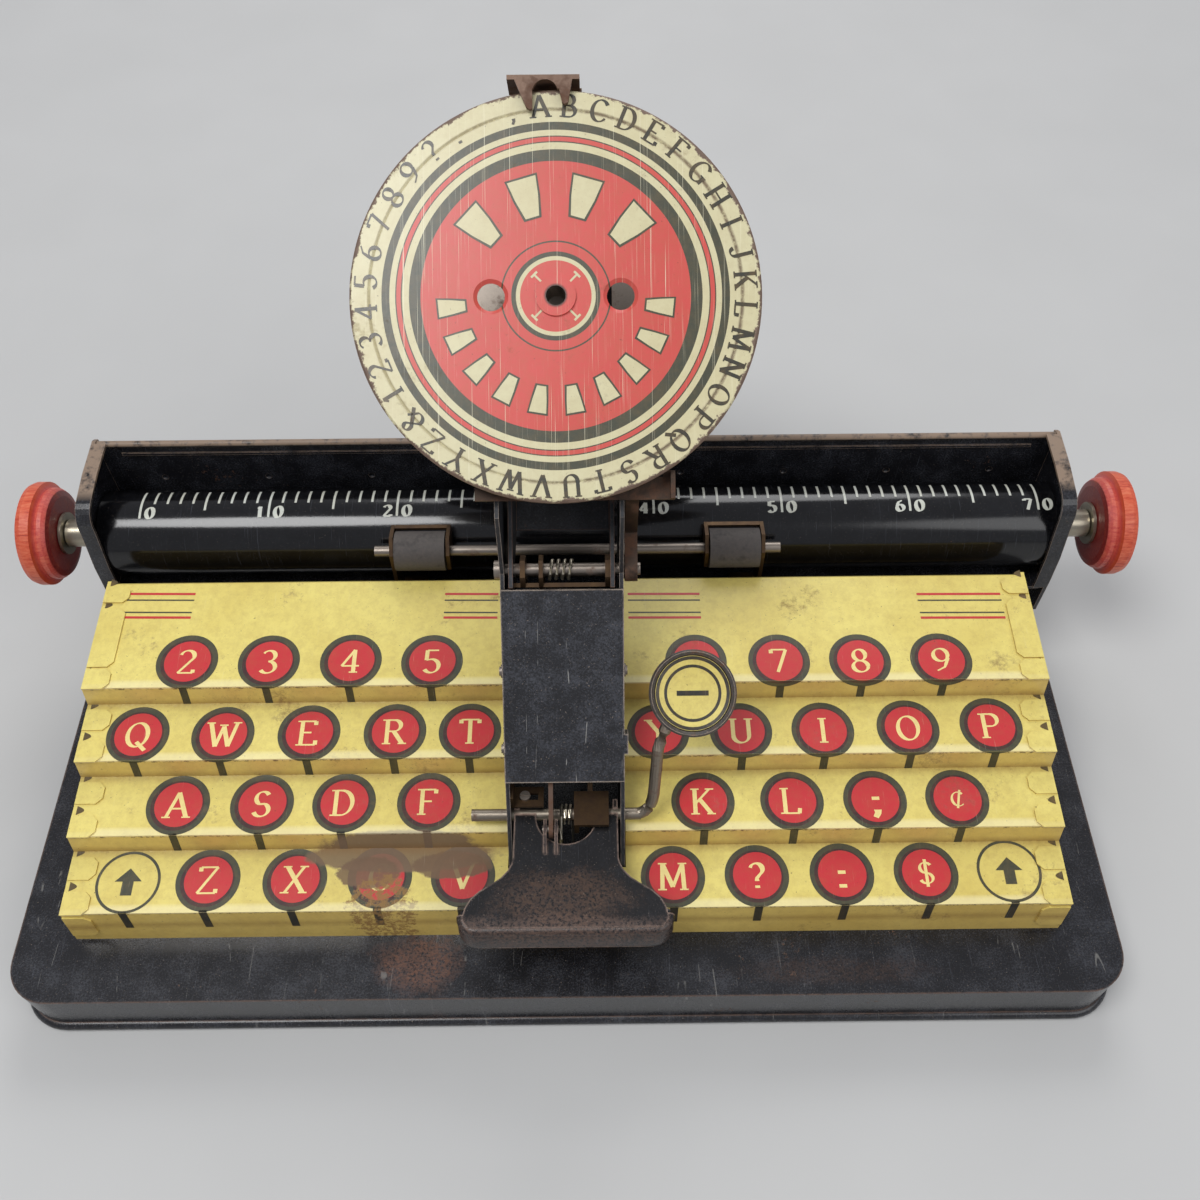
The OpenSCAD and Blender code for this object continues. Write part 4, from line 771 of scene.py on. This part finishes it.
# dirt and painted shade in the seams round the folded tabs: tread, middle and half length of each tab
TAB_W, TAB_CUT = 6.0, 1.5
TABS = ((0, 2.5, 3), (0, 11.5, 3), (1, 2.5, 3), (1, 11.5, 3), (2, 2.5, 3), (2, 11.5, 3), (3, 2.5, 3),
        (3, 15, 9), (3, 28.5, 2.6))
SEAM = 0.45
for side in (-1, 1):
    for tread, mid, half in TABS:
        place = tread_point(tread)
        inner = PANEL_HALF - TAB_W
        path = [(PANEL_HALF, mid - half), (inner + TAB_CUT, mid - half), (inner, mid - half + TAB_CUT),
                (inner, mid + half - TAB_CUT), (inner + TAB_CUT, mid + half), (PANEL_HALF, mid + half)]
        for (xa, va), (xb, vb) in zip(path, path[1:]):
            d = math.hypot(xb - xa, vb - va)
            nx, nv = (va - vb) / d * SEAM, (xb - xa) / d * SEAM
            dirt_and_shade.poly([(side * xa, va), (side * xb, vb), (side * (xb - nx), vb - nv),
                       (side * (xa - nx), va - nv)], place)
        # painted shade: a dark notch at the edge of the panel behind each tab
        notch = mid + half
        dirt_and_shade.poly([(side * (PANEL_HALF - 1.9 * math.sin(math.pi * i / 8)), notch + 0.2 + 2.4 * i / 8)
                   for i in range(9)], place)
dirt_and_shade.make("tab_dirt_and_shade", INK_DIRT_AND_SHADE, "base")
stripe_red.make("pinstripes_red", INK_RED, "base")
stripe_dark.make("pinstripes_dark", INK_OLIVE, "base")

# ---------------------------------------------------------------- dial print
INDEX = "ABCDEFGHIJKLMNOPQRSTUVWXYZ&123456789?. ,"
START = -4.2
LETTER_R, LETTER_H = 41.0, 4.7
marks = Sheet()
for i, ch in enumerate(INDEX):
    a = math.radians(START + 9.0 * i)
    place = lambda x, v, w=0.0, a=a: dial_point(v * math.sin(a) + x * math.cos(a),
                                                v * math.cos(a) - x * math.sin(a), LIFT + w)
    letter(marks, ch, 0, LETTER_R, LETTER_H, place, 1.05, squeeze=1.1)
marks.make("dial_letters", INK_GREY, "dial")


def on_ray(angle):
    """A map from (distance outwards, distance across) on a ray of the dial to its face."""
    a = math.radians(angle)
    return lambda r, x: (r * math.sin(a) + x * math.cos(a), r * math.cos(a) - x * math.sin(a))


def keystone(sheet, angle, r0, r1, half0, half1, grow=0.0, lift=0.0):
    """A generic block in place of a letter, wider outwards, centred on the given angle."""
    pt = on_ray(angle)
    mid, waist = (r0 + r1) / 2, half1 * 0.8
    sheet.poly([pt(r0 - grow, -half0 - grow), pt(r0 - grow, half0 + grow), pt(mid, waist + grow),
                pt(r1 + grow, half1 + grow),
                pt(r1 + grow, -half1 - grow), pt(mid, -waist - grow)], lambda x,
               v: dial_point(x, v, LIFT + lift))


# radii of a block's two ends, then its half width at each
BIG_BLOCK, SMALL_BLOCK = (17.6, 26.2, 1.5, 3.2), (19.6, 25.4, 1.0, 1.9)
BLOCK_LIFT = 0.03
blocks, outline = Sheet(), Sheet()
for angle in (-47, -16, 16, 47):
    keystone(outline, angle, *BIG_BLOCK, 0.45)
    keystone(blocks, angle, *BIG_BLOCK, 0, BLOCK_LIFT)
for i in range(10):
    angle = 96 + 18.7 * i
    keystone(outline, angle, *SMALL_BLOCK, 0.4)
    keystone(blocks, angle, *SMALL_BLOCK, 0, BLOCK_LIFT)
outline.make("dial_block_outlines", INK_OLIVE, "dial")
blocks.make("dial_blocks", INK_CREAM, "dial")
# a plain cross in the middle in place of a monogram
CROSS_ARM = [(4.3, -0.22), (4.3, 0.22), (6.3, 0.22), (6.3, 0.9), (6.8, 0.9), (6.8, -0.9), (6.3, -0.9),
             (6.3, -0.22)]
cross = Sheet()
for angle in (45, 135, 225, 315):
    pt = on_ray(angle)
    cross.poly([pt(r, x) for r, x in CROSS_ARM], lambda x, v: dial_point(x, v, LIFT))
cross.make("dial_cross", INK_CREAM, "dial")

# ---------------------------------------------------------------- scale on the platen
UNIT, TICK_W = 3.556, 0.65  # from one tick to the next, and the width of a tick
SCALE_X0 = -118.0
TICK_TOP, TICK_ONE, TICK_FIVE, TICK_TEN = 117, 91, 80, 69  # degrees over the platen from its horizontal front
DIGIT_A, DIGIT_H, DIGIT_W = 77, 3.3, 2.7
scale = Sheet()


def on_scale(u, v, w=0.0):
    return platen_point(u, DIGIT_A + math.degrees(v / PLATEN_R), LIFT + w)


def arc_strip(sheet, x0, x1, a0, a1, n=6):
    k = len(sheet.v)
    for i in range(n + 1):
        a = a0 + (a1 - a0) * i / n
        sheet.v += [platen_point(x0, a), platen_point(x1, a)]
    sheet.f += [[k + 2 * i, k + 2 * i + 1, k + 2 * i + 3, k + 2 * i + 2] for i in range(n)]


for i in range(71):
    x = SCALE_X0 + UNIT * i
    arc_strip(scale, x - TICK_W / 2, x + TICK_W / 2, TICK_TOP,
              TICK_TEN if i % 10 == 0 else TICK_FIVE if i % 5 == 0 else TICK_ONE)
    if i % 10 == 0:
        label = str(i)
        offsets = [DIGIT_W] if len(label) == 1 else [-DIGIT_W, DIGIT_W]
        for dx, ch in zip(offsets, label):
            letter(scale, ch, x + dx, 0, DIGIT_H, on_scale, 1.9, serifs=False, squeeze=1.15)
scale.make("platen_scale", INK_WHITE, "platen")

# ---------------------------------------------------------------- rolled lip of the print lever
LIP_HALF, LIP_Y, LIP_ROUND, LIP_END_Y = 24.3, 8.2, 3.4, 12.6
# at its open ends the lip keeps only the share LIP_CLOSE of its offsets, and of its drops past LIP_FOLD
LIP_TOP, LIP_FOLD, LIP_CLOSE = 43.36, 42, 0.62
# outward offset from the lip's line, and height
LIP_PROFILE = [(-3.4, LIP_TOP), (-2.2, 43.5), (-1.0, 43.55), (0.1, 43.35), (1.0, 42.8), (1.6, 41.9),
               (1.95, 40.8), (2.2, 39.4), (2.42, 37.9), (2.42, 37.3), (2.25, 36.98), (1.2, 36.98),
               (0.9, 38.6), (1.0, 40.8), (0.4, 42.2), (-3.4, 42.4)]
LIP_SIDE = 0.62  # share of the offset kept sideways, so that the lip stays inside the lever's width


def lip_line():
    """Points of the lip's line with the outward direction at each, left end to right end."""
    half, cy = LIP_HALF - LIP_ROUND, LIP_Y + LIP_ROUND
    corner = [math.radians(a) for a in range(0, 91, 9)]
    left = [(-half - LIP_ROUND * math.cos(a), cy - LIP_ROUND * math.sin(a), -math.cos(a), -math.sin(a))
            for a in corner]
    line = [(-LIP_HALF, LIP_END_Y, -1, 0)] + left
    return line + [(-x, y, -nx, ny) for x, y, nx, ny in reversed(line)]


verts, faces = [], []
line, count = lip_line(), len(LIP_PROFILE)
for i, (x, y, nx, ny) in enumerate(line):
    shrink = LIP_CLOSE if i in (0, len(line) - 1) else 1.0  # the open ends close in
    for off, z in LIP_PROFILE:
        off = off if off < 0 else off * shrink
        z = LIP_TOP - (LIP_TOP - z) * (shrink if z < LIP_FOLD else 1)
        verts.append(Vector((x + nx * off * (LIP_SIDE if off > 0 else 1), y + ny * off, z)) * MM)
for i in range(len(line) - 1):
    for j in range(count):
        a, b = i * count + j, i * count + (j + 1) % count
        faces.append([a, b, b + count, a + count])
faces += [list(range(count)), [len(verts) - 1 - k for k in range(count)]]
lip = piece("lever_lip", verts, faces, MATERIALS["japan_lever"][0], "print_lever")
for f in lip.data.polygons:
    f.use_smooth = True

# ---------------------------------------------------------------- space key print
FACE_DIP_R, FACE_DIP_Z = 60.0, 58.9
key_print = Sheet()
on_face = lambda x, v: key_point(x, v, FACE_DIP_Z - math.sqrt(FACE_DIP_R ** 2 - x * x - v * v) + LIFT)
for r0, r1 in ((6.1, 6.8), (8.0, 8.8)):
    key_print.ring(0, 0, r0, r1, on_face)
BAR_X, BAR_H = (-3.8, -1.3, 1.3, 3.8), 0.6  # a bar in place of words, in two rows of faces
for v in (-BAR_H, 0.0):
    key_print.poly([(x, v) for x in BAR_X] + [(x, v + BAR_H) for x in reversed(BAR_X)], on_face)
key_print.make("space_key_print", INK_BLACK, "space_lever")

# ---------------------------------------------------------------- floor, light, camera
FLOOR_HALF = 8.0  # m


def floor():
    mesh = bpy.data.meshes.new("floor")
    s = FLOOR_HALF
    mesh.from_pydata([(-s, -s, 0), (s, -s, 0), (s, s, 0), (-s, s, 0)], [], [[0, 1, 2, 3]])
    o = bpy.data.objects.new("floor", mesh)
    bpy.context.scene.collection.objects.link(o)
    n = Nodes("floor")
    n.finish(n.mix(n.noise(60, 2), (0.49, 0.49, 0.48, 1), (0.53, 0.53, 0.52, 1)), 0.85)
    mesh.materials.append(n.mat)


def area(name, place, target, size, power, colour=(1, 1, 1)):
    lamp = bpy.data.lights.new(name, "AREA")
    lamp.shape, lamp.size, lamp.energy, lamp.color = "DISK", size, power, colour
    o = bpy.data.objects.new(name, lamp)
    o.location = place
    o.rotation_euler = (Vector(target) - Vector(place)).to_track_quat("-Z", "Y").to_euler()
    bpy.context.scene.collection.objects.link(o)


floor()
AIM = (0, 0.08, 0.05)
area("key_light", (-0.35, -0.15, 1.1), AIM, 0.5, 6.5)
area("fill_light", (0.7, -0.5, 0.8), AIM, 0.8, 3.2)
area("rear_light", (0.1, 1.0, 0.9), AIM, 0.7, 5.0)
world = bpy.data.worlds.new("room")
world.use_nodes = True
world.node_tree.nodes["Background"].inputs[0].default_value = (0.9, 0.92, 1.0, 1)
world.node_tree.nodes["Background"].inputs[1].default_value = 0.42
bpy.context.scene.world = world

CAM_PITCH, CAM_YAW, CAM_ROLL = math.radians(53.91), math.radians(-0.35), math.radians(-0.31)
CAM_AT = Vector((7.9, -95.2, 315.1)) * MM
camera_data = bpy.data.cameras.new("camera")
camera_data.sensor_width = 36.0
camera_data.lens = 36.0  # 1200 px focal length on a 1200 px frame
camera_data.clip_start = 0.01
camera = bpy.data.objects.new("camera", camera_data)
bpy.context.scene.collection.objects.link(camera)
turn = Matrix.Rotation(CAM_YAW, 4, "Z")
forward = turn @ Vector((0, math.cos(CAM_PITCH), -math.sin(CAM_PITCH)))
up = turn @ Vector((0, math.sin(CAM_PITCH), math.cos(CAM_PITCH)))
right = turn @ Vector((1, 0, 0))
c, s = math.cos(CAM_ROLL), math.sin(CAM_ROLL)
right, up = right * c + up * s, up * c - right * s
camera.matrix_world = Matrix.Translation(CAM_AT) @ Matrix((right, up, -forward)).transposed().to_4x4()
bpy.context.scene.camera = camera
bpy.context.scene.view_settings.view_transform = "Standard"
